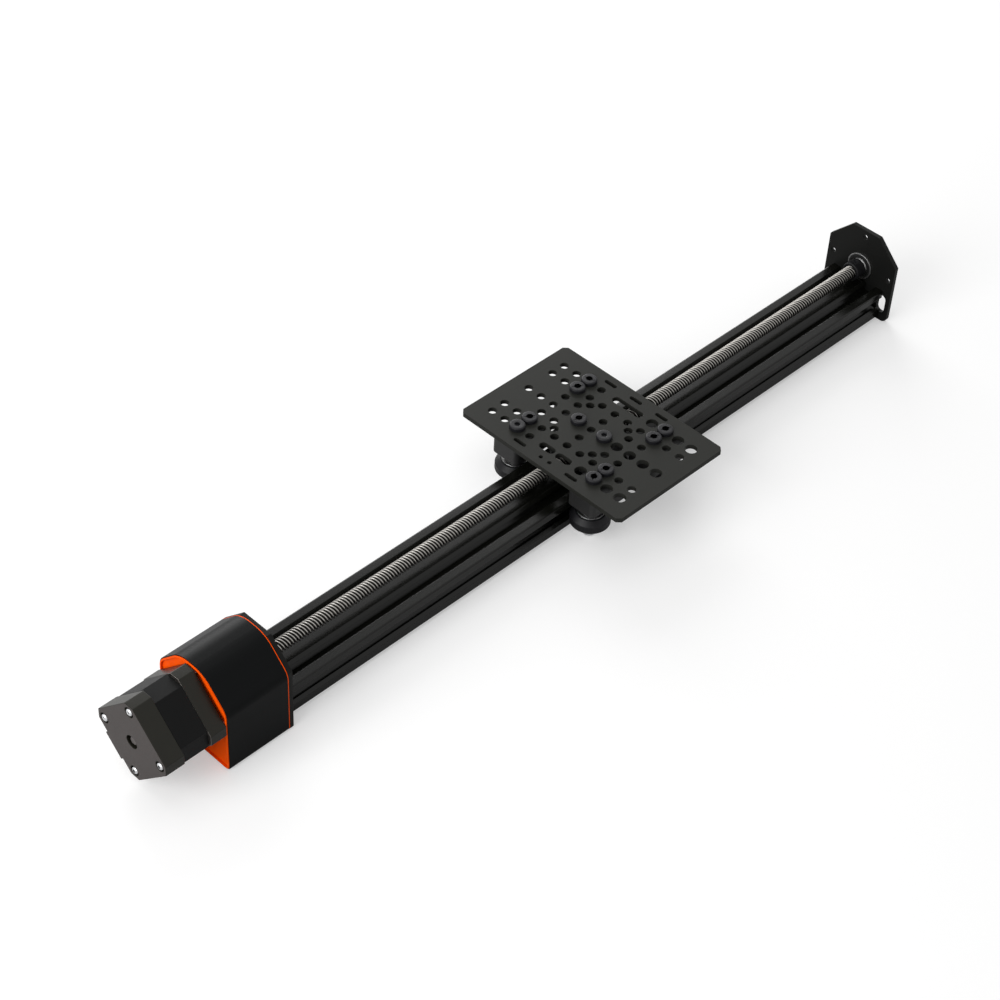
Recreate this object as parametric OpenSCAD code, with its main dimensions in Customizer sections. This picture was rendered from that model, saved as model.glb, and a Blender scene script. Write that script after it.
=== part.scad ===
// Lead screw linear module: a wheeled carriage on a V-slot rail, moved by a
// four-start lead screw that a stepper motor turns through a coupling.
// Millimetres, +Z up. The origin is the middle of the rail's underside, and +X
// runs along the rail, away from the motor. "Front" is -Y and "back" is +Y.

/* [Rail] */
// Length of the extrusion
rail_len = 500; // [360:1:800]
// Slot pitch: the height of the section and half of its width
rail_module = 20; // [19:0.1:22]
// Width of a slot's mouth at the surface
slot_mouth = 9.2; // [8.8:0.05:9.8]
// Depth of the slanted flanks in a slot's mouth
slot_flank = 1.7; // [1.5:0.05:1.9]
// Straight land behind the flanks
slot_land = 0.1; // [0.05:0.05:0.4]
// Width of the space behind a slot's lips
slot_cavity = 11; // [10.4:0.1:11.6]
// Depth of a slot from the surface to its floor
slot_depth = 6.1; // [5.8:0.05:6.4]
// Thickness of the slanted webs inside
rail_web = 1.5; // [1.3:0.05:1.7]
// Radius of the long outer edges
rail_edge_r = 1; // [0.5:0.1:1.5]
// Bore along each core
core_bore_d = 4.2; // [3.8:0.1:4.5]
// Length of thread at each end of a core bore
core_thread = 20; // [16:1:30]

/* [End plates] */
// Thickness of the end plates
end_plate_t = 3; // [2.5:0.1:5]
// How far the plates' feet reach below the rail
foot_drop = 2.5; // [1:0.1:5]
// Metal beside the motor's screw pattern
end_side_rim = 4.23; // [3.5:0.05:6]
// Metal above the motor's screw pattern
end_crown_rim = 4.88; // [3.5:0.05:7]
// Slanted shoulder, the same across and down
shoulder = 15.7; // [12:0.1:18]
// Radius of the far plate's lower corners
foot_r = 4; // [1:0.5:6]
// Radius of the motor-end plate's lower corners
motor_foot_r = 1.5; // [0.5:0.5:6]
// Width of the window over each side slot of the rail
window_w = 6.2; // [5:0.1:8]
// Height of that window
window_h = 13; // [10:0.5:16]
// Diameter of the motor pattern's holes
pattern_hole_d = 3.5; // [3.4:0.1:5]

/* [Lead screw] */
// Outside diameter of the screw
screw_d = 8; // [7.8:0.05:8.4]
// Height of the screw's axis above the rail's underside
axis_z = 29; // [28.5:0.1:33]
// Length of screw beyond the far plate
screw_overhang = 5; // [4:0.5:12]
// Outside diameter of the lock collars
collar_d = 12; // [11:0.1:12.6]
// Length of a lock collar
collar_len = 8; // [5:0.5:10]

/* [Bearings] */
// Outside diameter of all the ball bearings
bearing_od = 16; // [15.6:0.05:16.6]
// Width of all the ball bearings
bearing_w = 5; // [4.5:0.1:6]
// Outside diameter of the flange on a screw bearing
flange_d = 18; // [17.4:0.1:20]
// Thickness of that flange
flange_t = 1.1; // [0.8:0.05:1.5]
// Wall of an inner ring
inner_ring_wall = 1.5; // [1.2:0.05:1.7]
// Wall of an outer ring at its faces
outer_ring_rim = 1.1; // [0.8:0.05:1.4]
// Depth of the shields below the rings' faces
shield_recess = 0.3; // [0.2:0.05:0.6]
// Thickness of a shim
shim_t = 1; // [0.5:0.1:1.5]
// Outside diameter of a shim
shim_d = 10; // [9:0.1:10.6]

/* [Carriage] */
// Length of the carriage plate along the rail
deck_len = 88; // [84:0.5:120]
// Width of the carriage plate across the rail
deck_w = 125; // [118:0.5:160]
// Thickness of the carriage plate
deck_t = 3; // [2.5:0.1:5]
// Chamfer at the plate's corners
deck_chamfer = 2.5; // [1:0.5:6]
// Pitch of the hole grid
grid = 10; // [9.8:0.05:10.3]
// Diameter of the large holes
big_hole_d = 7.2; // [6.4:0.1:7.6]
// Width of the small slots near the plate's ends
edge_slot_w = 2.5; // [2:0.1:3.5]
// Length of those slots
edge_slot_len = 9; // [6:0.5:10]
// Distance of those slots from the plate's end
edge_slot_inset = 6; // [5:0.1:7]
// Height of the nut block's top above the screw's axis
nut_rise = 6.5; // [6.4:0.1:8]
// Depth of the nut block below the axis
nut_drop = 7.5; // [6:0.1:8]
// Length of the nut block along the screw
nut_len = 33; // [28:0.5:36]
// Width of the nut block
nut_w = 34; // [30:0.5:36]
// Chamfer along the nut block's lower edges
nut_chamfer = 3; // [1:0.5:4]
// Width of a wheel block
block_w = 20; // [16:0.5:24]
// Metal of a wheel block beyond its two screws
block_end = 10; // [8:0.5:10.5]
// Height of a wheel block
block_h = 15; // [12:0.1:15.4]
// Radius of a wheel block's upright edges
block_r = 3; // [1:0.5:6]
// Diameter of the boss under a wheel block
boss_d = 14; // [10:0.1:15]

/* [Wheels] */
// Outside diameter of a wheel
wheel_d = 23.9; // [22:0.1:25]
// Width of a wheel
wheel_w = 10.23; // [9.4:0.01:10.6]
// How far a wheel reaches into the side slot
wheel_bite = 1.95; // [1.7:0.05:2.2]
// Gap between a wheel's flank and the slot's flank
wheel_gap = 0.3; // [0.2:0.05:0.5]
// Bore of the lip between a wheel's two bearings
wheel_lip_d = 14; // [12:0.1:15]

/* [Motor] */
// Side of the motor's square body
motor_side = 42.3; // [41:0.1:44]
// Spacing of the motor's screws
motor_pitch = 31; // [30.5:0.1:31.6]
// Length of the front cap
front_cap_len = 10; // [8:0.5:14]
// Length of the stator
stator_len = 17; // [15:0.5:40]
// Length of the rear cap
rear_cap_len = 12; // [11:0.5:16]
// Corner chamfer of the caps
cap_chamfer = 4.5; // [3:0.1:5.5]
// Corner chamfer of the stator
stator_chamfer = 8; // [6:0.1:8.2]
// Diameter of the motor's shaft
motor_shaft_d = 5; // [4.8:0.05:5.2]
// Diameter of the rotor
rotor_d = 26; // [20:0.5:27]
// Diameter of the pilot on the motor's face
pilot_d = 22; // [20:0.5:23]
// Height of the pilot
pilot_h = 2; // [1.5:0.1:3]
// Hole in the middle of the rear face
rear_hole_d = 8; // [6:0.5:10]
// Length of the spacers between plate and motor
standoff_len = 41.5; // [40:0.5:60]
// Diameter of the spacers
standoff_d = 5.5; // [5:0.1:6]
// Width of the motor's socket
socket_w = 16; // [12:0.5:17]
// Length of the socket along the motor
socket_len = 6.9; // [5.5:0.1:7.5]
// Depth of the socket's seat in the cap
socket_depth = 5; // [4:0.5:6]
// How far the socket stands out of the cap
socket_proud = 2.2; // [1:0.1:4]
// Number of pins in the socket
pin_count = 6; // [4:1:6]
// Pitch of the contact pins
pin_pitch = 2; // [1.5:0.1:2.2]
// Diameter of a contact pin
pin_d = 0.6; // [0.4:0.05:0.8]
// Length of a contact pin
pin_len = 3.5; // [2:0.1:4]
// Wall of the socket
socket_wall = 0.9; // [0.6:0.05:1.2]
// Distance of the socket from the rear cap's outer face
socket_inset = 1.5; // [1:0.1:2.5]

/* [Coupling] */
// Outside diameter of the shaft coupling
coupling_d = 19; // [17:0.5:22]
// Length of the shaft coupling
coupling_len = 25; // [22:0.5:28]
// Gap between the coupling and the motor-end plate
coupling_gap = 6; // [5:0.5:10]

/* [Cover] */
// Wall of the black skin
skin_t = 0.6; // [0.4:0.05:1]
// Wall of the coloured liner
liner_t = 1; // [0.8:0.05:1.2]
// How far the cover stands out beside the end plate
cover_side = 0.55; // [0.2:0.05:2]
// How far the cover stands out above the end plate
cover_top = 1.5; // [0.5:0.1:3]
// Length of liner that shows at each end of the skin
liner_show = 0.6; // [0.3:0.1:4]
// Gap between the cover and the motor
cover_gap = 0.3; // [0.1:0.1:4]
// Thickness of the wall that closes the cover behind the motor
web_t = 1.5; // [0.8:0.1:3]
// Depth of that wall behind the cover's rim
web_recess = 1.3; // [0.5:0.1:5]
// Diameter of the opening in that wall
web_hole_d = 23; // [22.4:0.1:26]
// Radius of the two bends beside the cover's top
crown_bend_r = 18; // [5:0.5:20]
// Radius of the bends above the cover's side walls
bend_r = 10; // [5:0.5:12]
// Radius of the cover's lower bends
lower_bend_r = 3; // [2:0.5:5]

/* [Fasteners] */
// Thread of the large screws
m5_d = 5; // [4.8:0.05:5.2]
// Head diameter of the large low-profile screws
m5_head_d = 9.5; // [8.5:0.1:10]
// Head height of the large low-profile screws
m5_head_h = 2.7; // [2:0.1:3]
// Hexagon of the large screws' sockets, across corners
m5_hex_d = 3.5; // [3:0.1:4]
// Length of the rail screws
rail_screw_len = 15; // [12:1:18]
// Length of the short screws in the carriage
short_screw_len = 16; // [12:1:16]
// Height of a wheel axle's lock nut
lock_nut_h = 5; // [4:0.1:5.5]
// Lock nut's hexagon, across corners
lock_nut_d = 9.2; // [8.8:0.1:9.6]
// Thread of the small screws
m3_d = 3; // [2.9:0.05:3.1]
// Head diameter of the small screws
m3_head_d = 5.5; // [5:0.1:5.8]
// Head height of the small screws
m3_head_h = 3; // [2:0.1:3.2]
// Hexagon of the small screws' sockets, across corners
m3_hex_d = 2.9; // [2.4:0.1:3.2]
// Depth of the motor screws' threads in the front cap
motor_thread = 4; // [3:0.5:4.5]

/* [Fits] */
// Radial clearance of screws in their holes and of rings on their shafts
bolt_gap = 0.05; // [0.02:0.01:0.1]
// Radial clearance of a bearing in its seat
seat_gap = 0.02; // [0.01:0.01:0.05]
// Radial gap between parts that turn past each other
turn_gap = 0.3; // [0.25:0.05:0.4]

/* [Hidden] */
$fn = 64;
over = 1;            // how far a cut runs past the face that it opens
edge = 0.4;          // chamfer that breaks the edges of turned pieces
arc_steps = 8;       // straight steps in the arc of one bend
rail_h = rail_module;
rail_w = 2 * rail_module;
core_y = rail_module / 2;
mid_z = rail_h / 2;
slot_lip = slot_flank + slot_land;
screw_r = screw_d / 2;
bearing_r = bearing_od / 2;
shield_r = bearing_r - outer_ring_rim;
pattern = motor_pitch / sqrt(2);            // motor holes beside and above the axis
end_x = rail_len / 2;                       // inner face of the end plates
end_half_w = pattern + end_side_rim;
end_top = axis_z + pattern + end_crown_rim;
deck_z = axis_z + nut_rise;                 // underside of the carriage plate
axle_y = rail_w / 2 + wheel_d / 2 - wheel_bite;
axle_x = 3 * grid;
block_screw_x = 2 * grid;
// Stack on a wheel's axle, from the middle of the wheel outwards
stack_half = shim_t / 2 + bearing_w;
boss_z = mid_z + stack_half + shim_t;
nut_top_z = mid_z - stack_half - shim_t;
axle_len = deck_z + deck_t - nut_top_z + lock_nut_h;
wheel_r = wheel_d / 2;
wheel_flat = slot_mouth - 2 * (wheel_bite + wheel_gap * sqrt(2));
wheel_face_r = wheel_r - (wheel_w - wheel_flat) / 2;
// Places along the motor, from the plate outwards
cover_x = end_x + end_plate_t;
motor_face_x = cover_x + standoff_len;
stator_x = motor_face_x + front_cap_len;
rear_cap_x = stator_x + stator_len;
rear_x = rear_cap_x + rear_cap_len;
head_recess = m3_head_h - edge;
mount_screw_len = end_plate_t + standoff_len + motor_thread;
collar_x = end_x - flange_t - shim_t;       // outer face of a lock collar
coupling_x = cover_x + coupling_gap;
joint_x = coupling_x + coupling_len / 2;
shaft_gap = 1;                              // between the two shaft ends in the coupling

ANODISED = "#2b2c2a";
DECK_GREY = "#45463f";
BLACK_PLASTIC = "#1c1c1d";
SKIN_BLACK = "#202324";
LINER_ORANGE = "#ff5a10";
MOTOR_GREY = "#3a3833";
STATOR_BLACK = "#201f1d";
STEEL = "#b9bcc0";
BRIGHT_STEEL = "#d6d8da";
BLACK_STEEL = "#26272a";
SOCKET_WHITE = "#e8e6de";
BRASS = "#c9a450";

// Carriage corners, in the order that the node names use
MOTOR = -1;
FAR = 1;
FRONT = -1;
BACK = 1;
CORNERS = [for (x = [MOTOR, FAR], y = [FRONT, BACK]) [x, y]];

// ---- Outlines ----

// Arc of radius r that rounds the corner p between its neighbours a and b
function corner_arc(a, p, b, r) =
    let (
        u = (a - p) / norm(a - p),
        v = (b - p) / norm(b - p),
        half = acos(u * v) / 2,
        centre = p + (u + v) / norm(u + v) * r / sin(half),
        from = p + u * r / tan(half) - centre,
        to = p + v * r / tan(half) - centre,
        start = atan2(from.y, from.x),
        sweep = (atan2(to.y, to.x) - start + 540) % 360 - 180
    )
    [for (i = [0 : arc_steps]) centre + r * [
        cos(start + sweep * i / arc_steps), sin(start + sweep * i / arc_steps)
    ]];

// Outline with the corner i rounded to radii[i], or left sharp where that is 0
function rounded(pts, radii) =
    let (n = len(pts))
    [for (i = [0 : n - 1]) each radii[i] == 0
        ? [pts[i]]
        : corner_arc(pts[(i + n - 1) % n], pts[i], pts[(i + 1) % n], radii[i])];

// Box outline with its middle at the origin
function box_outline(w, h) = [[w, -h] / 2, [w, h] / 2, [-w, h] / 2, [-w, -h] / 2];

// House outline of the end plates and the cover, from the lower right corner round
function house(half_w, top, bottom, slope) = [
    [half_w, bottom], [half_w, top - slope], [half_w - slope, top],
    [slope - half_w, top], [-half_w, top - slope], [-half_w, bottom]
];

// Slot with round ends, its length along the second axis
module obround(w, len) {
    square([w, len - w], center = true);
    for (s = [-1, 1]) translate([0, s * (len - w) / 2]) circle(d = w);
}

// Motor body's outline: a square with its corners cut
module cut_square(side, cut) {
    h = side / 2;
    c = cut;
    polygon([
        [h, c - h], [h, h - c], [h - c, h], [c - h, h],
        [-h, h - c], [-h, c - h], [c - h, -h], [h - c, -h]
    ]);
}

// ---- Solids that repeat ----

// Extrude an outline drawn in Y and Z along X, between two places
module along_x(x0, x1) {
    translate([x0, 0, 0]) rotate([90, 0, 90]) linear_extrude(x1 - x0) children();
}

// Cylinder along X between two places
module rod_x(x0, x1, r) {
    translate([x0, 0, 0]) rotate([0, 90, 0]) cylinder(h = x1 - x0, r = r);
}

// Round bar with broken edges, from z = 0 up
module chamfered_rod(r, h, c = edge) {
    rotate_extrude() polygon([[0, 0], [r - c, 0], [r, c], [r, h - c], [r - c, h], [0, h]]);
}

// Socket screw: its head stands on z = 0 and its shank hangs below
module socket_screw(d, len, head_d, head_h, hex_d) {
    r = d / 2;
    hr = head_d / 2;
    difference() {
        rotate_extrude() polygon([
            [0, -len], [r - edge, -len], [r, edge - len], [r, 0],
            [hr, 0], [hr, head_h - edge], [hr - edge, head_h], [0, head_h]
        ]);
        translate([0, 0, head_h * 0.4]) cylinder(d = hex_d, h = head_h, $fn = 6);
    }
}

module m5_screw(len) socket_screw(m5_d, len, m5_head_d, m5_head_h, m5_hex_d);
module m3_screw(len) socket_screw(m3_d, len, m3_head_d, m3_head_h, m3_hex_d);

// Headless screw along Z, from z = 0 up, its hexagon at the top
module grub_screw(len) {
    difference() {
        cylinder(d = m3_d, h = len);
        translate([0, 0, len / 2]) cylinder(d = m3_d / 2, h = len, $fn = 6);
    }
}

// Plain ring from z = 0 up
module ring(r_out, r_in, h) {
    rotate_extrude() translate([r_in, 0]) square([r_out - r_in, h]);
}

// Inner ring of a bearing on a shaft, from z = 0 up
module inner_ring(shaft_r) {
    ring(shaft_r + inner_ring_wall, shaft_r + bolt_gap, bearing_w);
}

// Outer ring with its two shields, from z = 0 up; the flange lies at z = 0
module outer_ring(shaft_r, flange_r = bearing_r, flange_h = 0) {
    open_r = shaft_r + inner_ring_wall + turn_gap;
    low = shield_recess;
    high = bearing_w - shield_recess;
    rotate_extrude() {
        polygon([
            [shield_r, 0], [bearing_r, 0], [bearing_r, bearing_w], [shield_r, bearing_w],
            [shield_r, high], [open_r, high], [open_r, low], [shield_r, low]
        ]);
        if (flange_h > 0) translate([shield_r, 0]) square([flange_r - shield_r, flange_h]);
    }
}

// Put children on the screw's axis at a place along X, their +Z towards side
module on_axis(x, side = 1) {
    translate([x, 0, axis_z]) rotate([0, 90 * side, 0]) children();
}

// Frame of the motor: on the screw's axis, turned by an eighth about it
module motor_frame() {
    translate([0, 0, axis_z]) rotate([-45, 0, 0]) children();
}

// Four places of the motor's screws, at a place along X
module at_motor_screws(x) {
    motor_frame() for (y = [-1, 1], z = [-1, 1])
        translate([x, y * motor_pitch / 2, z * motor_pitch / 2]) children();
}

// Children at one corner of the carriage, on the wheel's axis
module at_corner(side_x, side_y) {
    translate([side_x * axle_x, side_y * axle_y, 0]) children();
}

// ---- Rail ----

// Slot with its mouth at the origin, open towards +Y
module slot_outline() {
    mouth = slot_mouth / 2;
    neck = mouth - slot_flank;
    room = slot_cavity / 2;
    // The webs run at 45 degrees through the corner of each module
    reach = rail_module / 2 - rail_web / sqrt(2);
    floor_half = reach - slot_depth;
    polygon([
        [mouth + over, over], [mouth, 0], [neck, -slot_flank], [neck, -slot_lip],
        [room, -slot_lip], [room, room - reach], [floor_half, -slot_depth],
        [-floor_half, -slot_depth], [-room, room - reach], [-room, -slot_lip],
        [-neck, -slot_lip], [-neck, -slot_flank], [-mouth, 0], [-mouth - over, over]
    ]);
}

// Hollow between the two cores
module core_hollow() {
    reach = rail_module / 2 - rail_web / sqrt(2);
    floor_half = reach - slot_depth;
    half = core_y - slot_cavity / 2 - rail_web;
    top = mid_z - slot_lip;
    side = reach - half;
    polygon([
        [half, -top], [half, -side], [slot_depth, -floor_half], [slot_depth, floor_half],
        [half, side], [half, top], [-half, top], [-half, side],
        [-slot_depth, floor_half], [-slot_depth, -floor_half], [-half, -side], [-half, -top]
    ]);
}

module rail_section() {
    difference() {
        translate([0, mid_z])
            polygon(rounded(box_outline(rail_w, rail_h), [for (i = [1 : 4]) rail_edge_r]));
        for (s = [-1, 1]) {
            translate([s * core_y, rail_h]) slot_outline();
            translate([s * core_y, 0]) rotate(180) slot_outline();
            translate([s * rail_w / 2, mid_z]) rotate(-90 * s) slot_outline();
            translate([s * core_y, mid_z]) circle(d = core_bore_d);
        }
        translate([0, mid_z]) core_hollow();
    }
}

module rail() {
    thread_r = m5_d / 2 + bolt_gap;
    color(ANODISED) difference() {
        along_x(-end_x, end_x) rail_section();
        for (y = [-core_y, core_y]) translate([0, y, mid_z]) {
            rod_x(-end_x - over, core_thread - end_x, thread_r);
            rod_x(end_x - core_thread, end_x + over, thread_r);
        }
    }
}

// ---- End plates ----

module end_plate_outline(corner_r) {
    difference() {
        polygon(rounded(house(end_half_w, end_top, -foot_drop, shoulder),
            [corner_r, 0, 0, 0, 0, corner_r]));
        translate([0, axis_z]) {
            circle(r = bearing_r + seat_gap);
            for (a = [0 : 90 : 270]) rotate(a) translate([pattern, 0]) circle(d = pattern_hole_d);
        }
        for (s = [-1, 1]) {
            translate([s * core_y, mid_z]) circle(r = m5_d / 2 + bolt_gap);
            translate([s * rail_w / 2, mid_z]) obround(window_w, window_h);
        }
    }
}

module end_plate_motor() color(ANODISED) along_x(-cover_x, -end_x) end_plate_outline(motor_foot_r);
module end_plate_far() color(ANODISED) along_x(end_x, cover_x) end_plate_outline(foot_r);

module rail_screws(side) {
    color(BLACK_STEEL) for (y = [-core_y, core_y])
        translate([side * cover_x, y, mid_z]) rotate([0, 90 * side, 0]) m5_screw(rail_screw_len);
}

module rail_screws_motor() rail_screws(MOTOR);
module rail_screws_far() rail_screws(FAR);

// ---- Screw bearings ----

module screw_bearing_outer(side) {
    color(STEEL) on_axis(side * (end_x - flange_t), side)
        outer_ring(screw_r, flange_d / 2, flange_t);
}

module screw_bearing_inner(side) {
    color(BRIGHT_STEEL) on_axis(side * (end_x - flange_t), side) inner_ring(screw_r);
}

module bearing_outer_motor() screw_bearing_outer(MOTOR);
module bearing_outer_far() screw_bearing_outer(FAR);
module bearing_inner_motor() screw_bearing_inner(MOTOR);
module bearing_inner_far() screw_bearing_inner(FAR);

module thrust_shims() {
    color(STEEL) for (side = [MOTOR, FAR])
        on_axis(side * (end_x - flange_t), -side) ring(shim_d / 2, screw_r + bolt_gap, shim_t);
}

module lock_collar(side) {
    color(BLACK_STEEL) on_axis(side * collar_x, -side) difference() {
        chamfered_rod(collar_d / 2, collar_len);
        translate([0, 0, -over]) cylinder(r = screw_r + bolt_gap, h = collar_len + 2 * over);
        translate([0, 0, collar_len / 2]) rotate([0, 90, 0])
            cylinder(r = m3_d / 2 + bolt_gap, h = collar_d);
    }
}

module lock_collar_motor() lock_collar(MOTOR);
module lock_collar_far() lock_collar(FAR);

module collar_screws() {
    screw_len = collar_d / 2 - screw_r - 3 * bolt_gap - edge;
    color(BLACK_STEEL) for (side = [MOTOR, FAR])
        on_axis(side * collar_x, -side) translate([0, 0, collar_len / 2]) rotate([0, 90, 0])
            translate([0, 0, screw_r + 3 * bolt_gap]) grub_screw(screw_len);
}

module lead_screw() {
    x0 = -joint_x + shaft_gap / 2;
    color(STEEL) on_axis(x0) chamfered_rod(screw_r, cover_x + screw_overhang - x0);
}

// ---- Coupling ----

// The coupling's four grub screws: place along X, shaft radius, turn about the axis
COUPLING_GRUBS = [for (end = [-1, 1], turn = [0, 90])
    [end * coupling_len / 4 - joint_x, end < 0 ? motor_shaft_d / 2 : screw_r, turn]];

module at_coupling_grubs() {
    for (g = COUPLING_GRUBS)
        on_axis(g[0]) rotate(g[2]) rotate([0, 90, 0]) translate([0, 0, g[1]]) children();
}

module shaft_coupling() {
    color(BRIGHT_STEEL) difference() {
        on_axis(-joint_x - coupling_len / 2) chamfered_rod(coupling_d / 2, coupling_len);
        on_axis(-joint_x) cylinder(r = screw_r + bolt_gap, h = coupling_len);
        on_axis(-joint_x - coupling_len) cylinder(r = motor_shaft_d / 2 + bolt_gap, h = 2 * coupling_len);
        at_coupling_grubs() cylinder(r = m3_d / 2 + bolt_gap, h = coupling_d);
    }
}

module coupling_screws() {
    color(BLACK_STEEL) for (g = COUPLING_GRUBS)
        on_axis(g[0]) rotate(g[2]) rotate([0, 90, 0]) translate([0, 0, g[1] + 2 * bolt_gap])
            grub_screw(coupling_d / 2 - g[1] - 2 * bolt_gap - edge);
}

// ---- Motor ----

module motor_shaft() {
    length = rear_x - joint_x - over - shaft_gap / 2;
    color(STEEL) on_axis(-rear_x + over) chamfered_rod(motor_shaft_d / 2, length);
}

module motor_rotor() {
    color(STEEL) on_axis(-rear_cap_x + over) ring(
        rotor_d / 2, motor_shaft_d / 2 + bolt_gap, stator_len - 2 * over
    );
}

// Places of the motor's two bearings, where each starts along X
MOTOR_BEARING_X = [-stator_x, -rear_cap_x - bearing_w];

module motor_bearings_inner() {
    color(BRIGHT_STEEL) for (x = MOTOR_BEARING_X) on_axis(x) inner_ring(motor_shaft_d / 2);
}

module motor_bearings_outer() {
    color(STEEL) for (x = MOTOR_BEARING_X) on_axis(x) outer_ring(motor_shaft_d / 2);
}

module motor_front_cap() {
    color(MOTOR_GREY) difference() {
        union() {
            motor_frame() along_x(-stator_x, -motor_face_x) cut_square(motor_side, cap_chamfer);
            on_axis(-motor_face_x) cylinder(d = pilot_d, h = pilot_h);
        }
        on_axis(-stator_x - over) cylinder(r = bearing_r + seat_gap, h = bearing_w + over);
        on_axis(-stator_x) cylinder(r = motor_shaft_d / 2 + turn_gap, h = front_cap_len + 2 * pilot_h);
        at_motor_screws(-motor_face_x - motor_thread - edge)
            rod_x(0, front_cap_len, m3_d / 2 + bolt_gap);
        at_motor_screws(-stator_x - over) rod_x(0, motor_thread + over, m3_d / 2 + bolt_gap);
    }
}

module motor_stator() {
    color(STATOR_BLACK) difference() {
        motor_frame() along_x(-rear_cap_x, -stator_x) cut_square(motor_side, stator_chamfer);
        on_axis(-rear_cap_x - over) cylinder(r = rotor_d / 2 + turn_gap, h = stator_len + 2 * over);
        at_motor_screws(-rear_cap_x - over) rod_x(0, stator_len + 2 * over, m3_d / 2 + bolt_gap);
    }
}

module motor_rear_cap() {
    color(MOTOR_GREY) difference() {
        motor_frame() {
            along_x(-rear_x, -rear_cap_x) cut_square(motor_side, cap_chamfer);
            socket_lip();
        }
        on_axis(-rear_cap_x - bearing_w) cylinder(r = bearing_r + seat_gap, h = bearing_w + over);
        on_axis(-rear_x - over) cylinder(d = rear_hole_d, h = rear_cap_len);
        at_motor_screws(-rear_x - over) {
            rod_x(0, rear_cap_len + 2 * over, m3_d / 2 + bolt_gap);
            rod_x(0, head_recess + over, m3_head_d / 2 + turn_gap);
        }
        at_socket(bolt_gap) translate([0, 0, over / 2])
            cube(socket_box(2 * bolt_gap) + [0, 0, over], center = true);
    }
}

// The socket's seat: a box sunk in the side that faces down and back
function socket_box(room) = [socket_len + room, socket_w + room, socket_depth + room / 2];

module at_socket(room) {
    motor_frame() translate([
        socket_inset + socket_len / 2 - rear_x, motor_side / 2 - (socket_depth + room) / 2, 0
    ]) rotate([-90, 0, 0]) children();
}

// The part of the cap's rear wall that rises behind the socket
module socket_lip() {
    translate([-rear_x, motor_side / 2 - socket_depth, -socket_w / 2])
        cube([socket_inset - bolt_gap, socket_depth + socket_proud, socket_w]);
}

module motor_connector() {
    full = socket_box(0) + [0, 0, socket_proud];
    bore = full - [2, 2, 0] * socket_wall;
    color(SOCKET_WHITE) at_socket(0) translate([0, 0, socket_proud / 2]) difference() {
        cube(full, center = true);
        translate([0, 0, 2 * socket_wall]) cube(bore, center = true);
    }
}

module connector_pins() {
    floor_z = 2 * socket_wall - socket_depth / 2;
    color(BRASS) at_socket(0) for (i = [0 : pin_count - 1])
        translate([0, (i - (pin_count - 1) / 2) * pin_pitch, floor_z]) cylinder(d = pin_d, h = pin_len);
}

module motor_rear_screws() {
    reach = rear_cap_len - head_recess + stator_len + motor_thread - edge;
    color(BRIGHT_STEEL) at_motor_screws(-rear_x + head_recess) rotate([0, -90, 0]) m3_screw(reach);
}

module motor_standoffs() {
    color(STEEL) at_motor_screws(-motor_face_x) rotate([0, 90, 0])
        ring(standoff_d / 2, m3_d / 2 + bolt_gap, standoff_len);
}

module motor_mount_screws() {
    color(BLACK_STEEL) at_motor_screws(-end_x) rotate([0, 90, 0]) m3_screw(mount_screw_len);
}

// ---- Cover ----

// The cover's outline, drawn in by a wall
module cover_outline(inset) {
    crown = crown_bend_r - inset;
    bend = bend_r - inset;
    low = lower_bend_r - inset;
    // A 45 degree shoulder moves in by this much less than its two sides
    slope = shoulder + cover_top - inset * (2 - sqrt(2));
    polygon(rounded(
        house(end_half_w + cover_side - inset, end_top + cover_top - inset, inset - foot_drop, slope),
        [low, bend, crown, crown, bend, low]
    ));
}

module cover_sleeve(x0, x1, outer, wall) {
    difference() {
        along_x(x0, x1) cover_outline(outer);
        along_x(x0 - over, x1 + over) cover_outline(outer + wall);
    }
}

// The wall behind the motor, open for the coupling and the standoffs
module cover_web() {
    x0 = cover_gap + web_recess - motor_face_x;
    along_x(x0, x0 + web_t) difference() {
        cover_outline(skin_t + liner_t / 2);
        translate([0, axis_z]) {
            circle(d = web_hole_d);
            for (a = [0 : 90 : 270]) rotate(a) translate([pattern, 0])
                circle(r = standoff_d / 2 + turn_gap);
        }
    }
}

module cover_liner() {
    color(LINER_ORANGE) {
        cover_sleeve(cover_gap - motor_face_x, -cover_x, skin_t, liner_t);
        cover_web();
    }
}

module cover_skin() {
    color(SKIN_BLACK)
        cover_sleeve(cover_gap + liner_show - motor_face_x, -cover_x - liner_show, 0, skin_t);
}

// ---- Carriage ----

// Small holes of the plate: each row's place and its columns, in grid steps
SMALL_ROWS = [
    [5, [-3, -2, 0, 2, 3]], [4, [-3, -2, 0, 2, 3]], [3, [-1, 0, 1]],
    [2, [-3, -2, -1, 0, 1, 2, 3]], [1.5, [-1.5, 1.5]], [1, [-2, 2]],
    [0, [-2, -1, 0, 1, 2]], [-1, [-2, 2]], [-1.5, [-1.5, 1.5]],
    [-2, [-2, -1, 1, 2]], [-3, [-1, 1]], [-4, [-2, 2]], [-5, [-2, 2]]
];
// Large holes, in the same way
BIG_ROWS = [[-2, [-3, 0, 3]], [-3, [0]], [-4, [-3, 0, 3]], [-5, [-3, 0, 3]]];

module hole_rows(rows, d) {
    for (row = rows, column = row[1]) translate([column, row[0]] * grid) circle(d = d);
}

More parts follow.
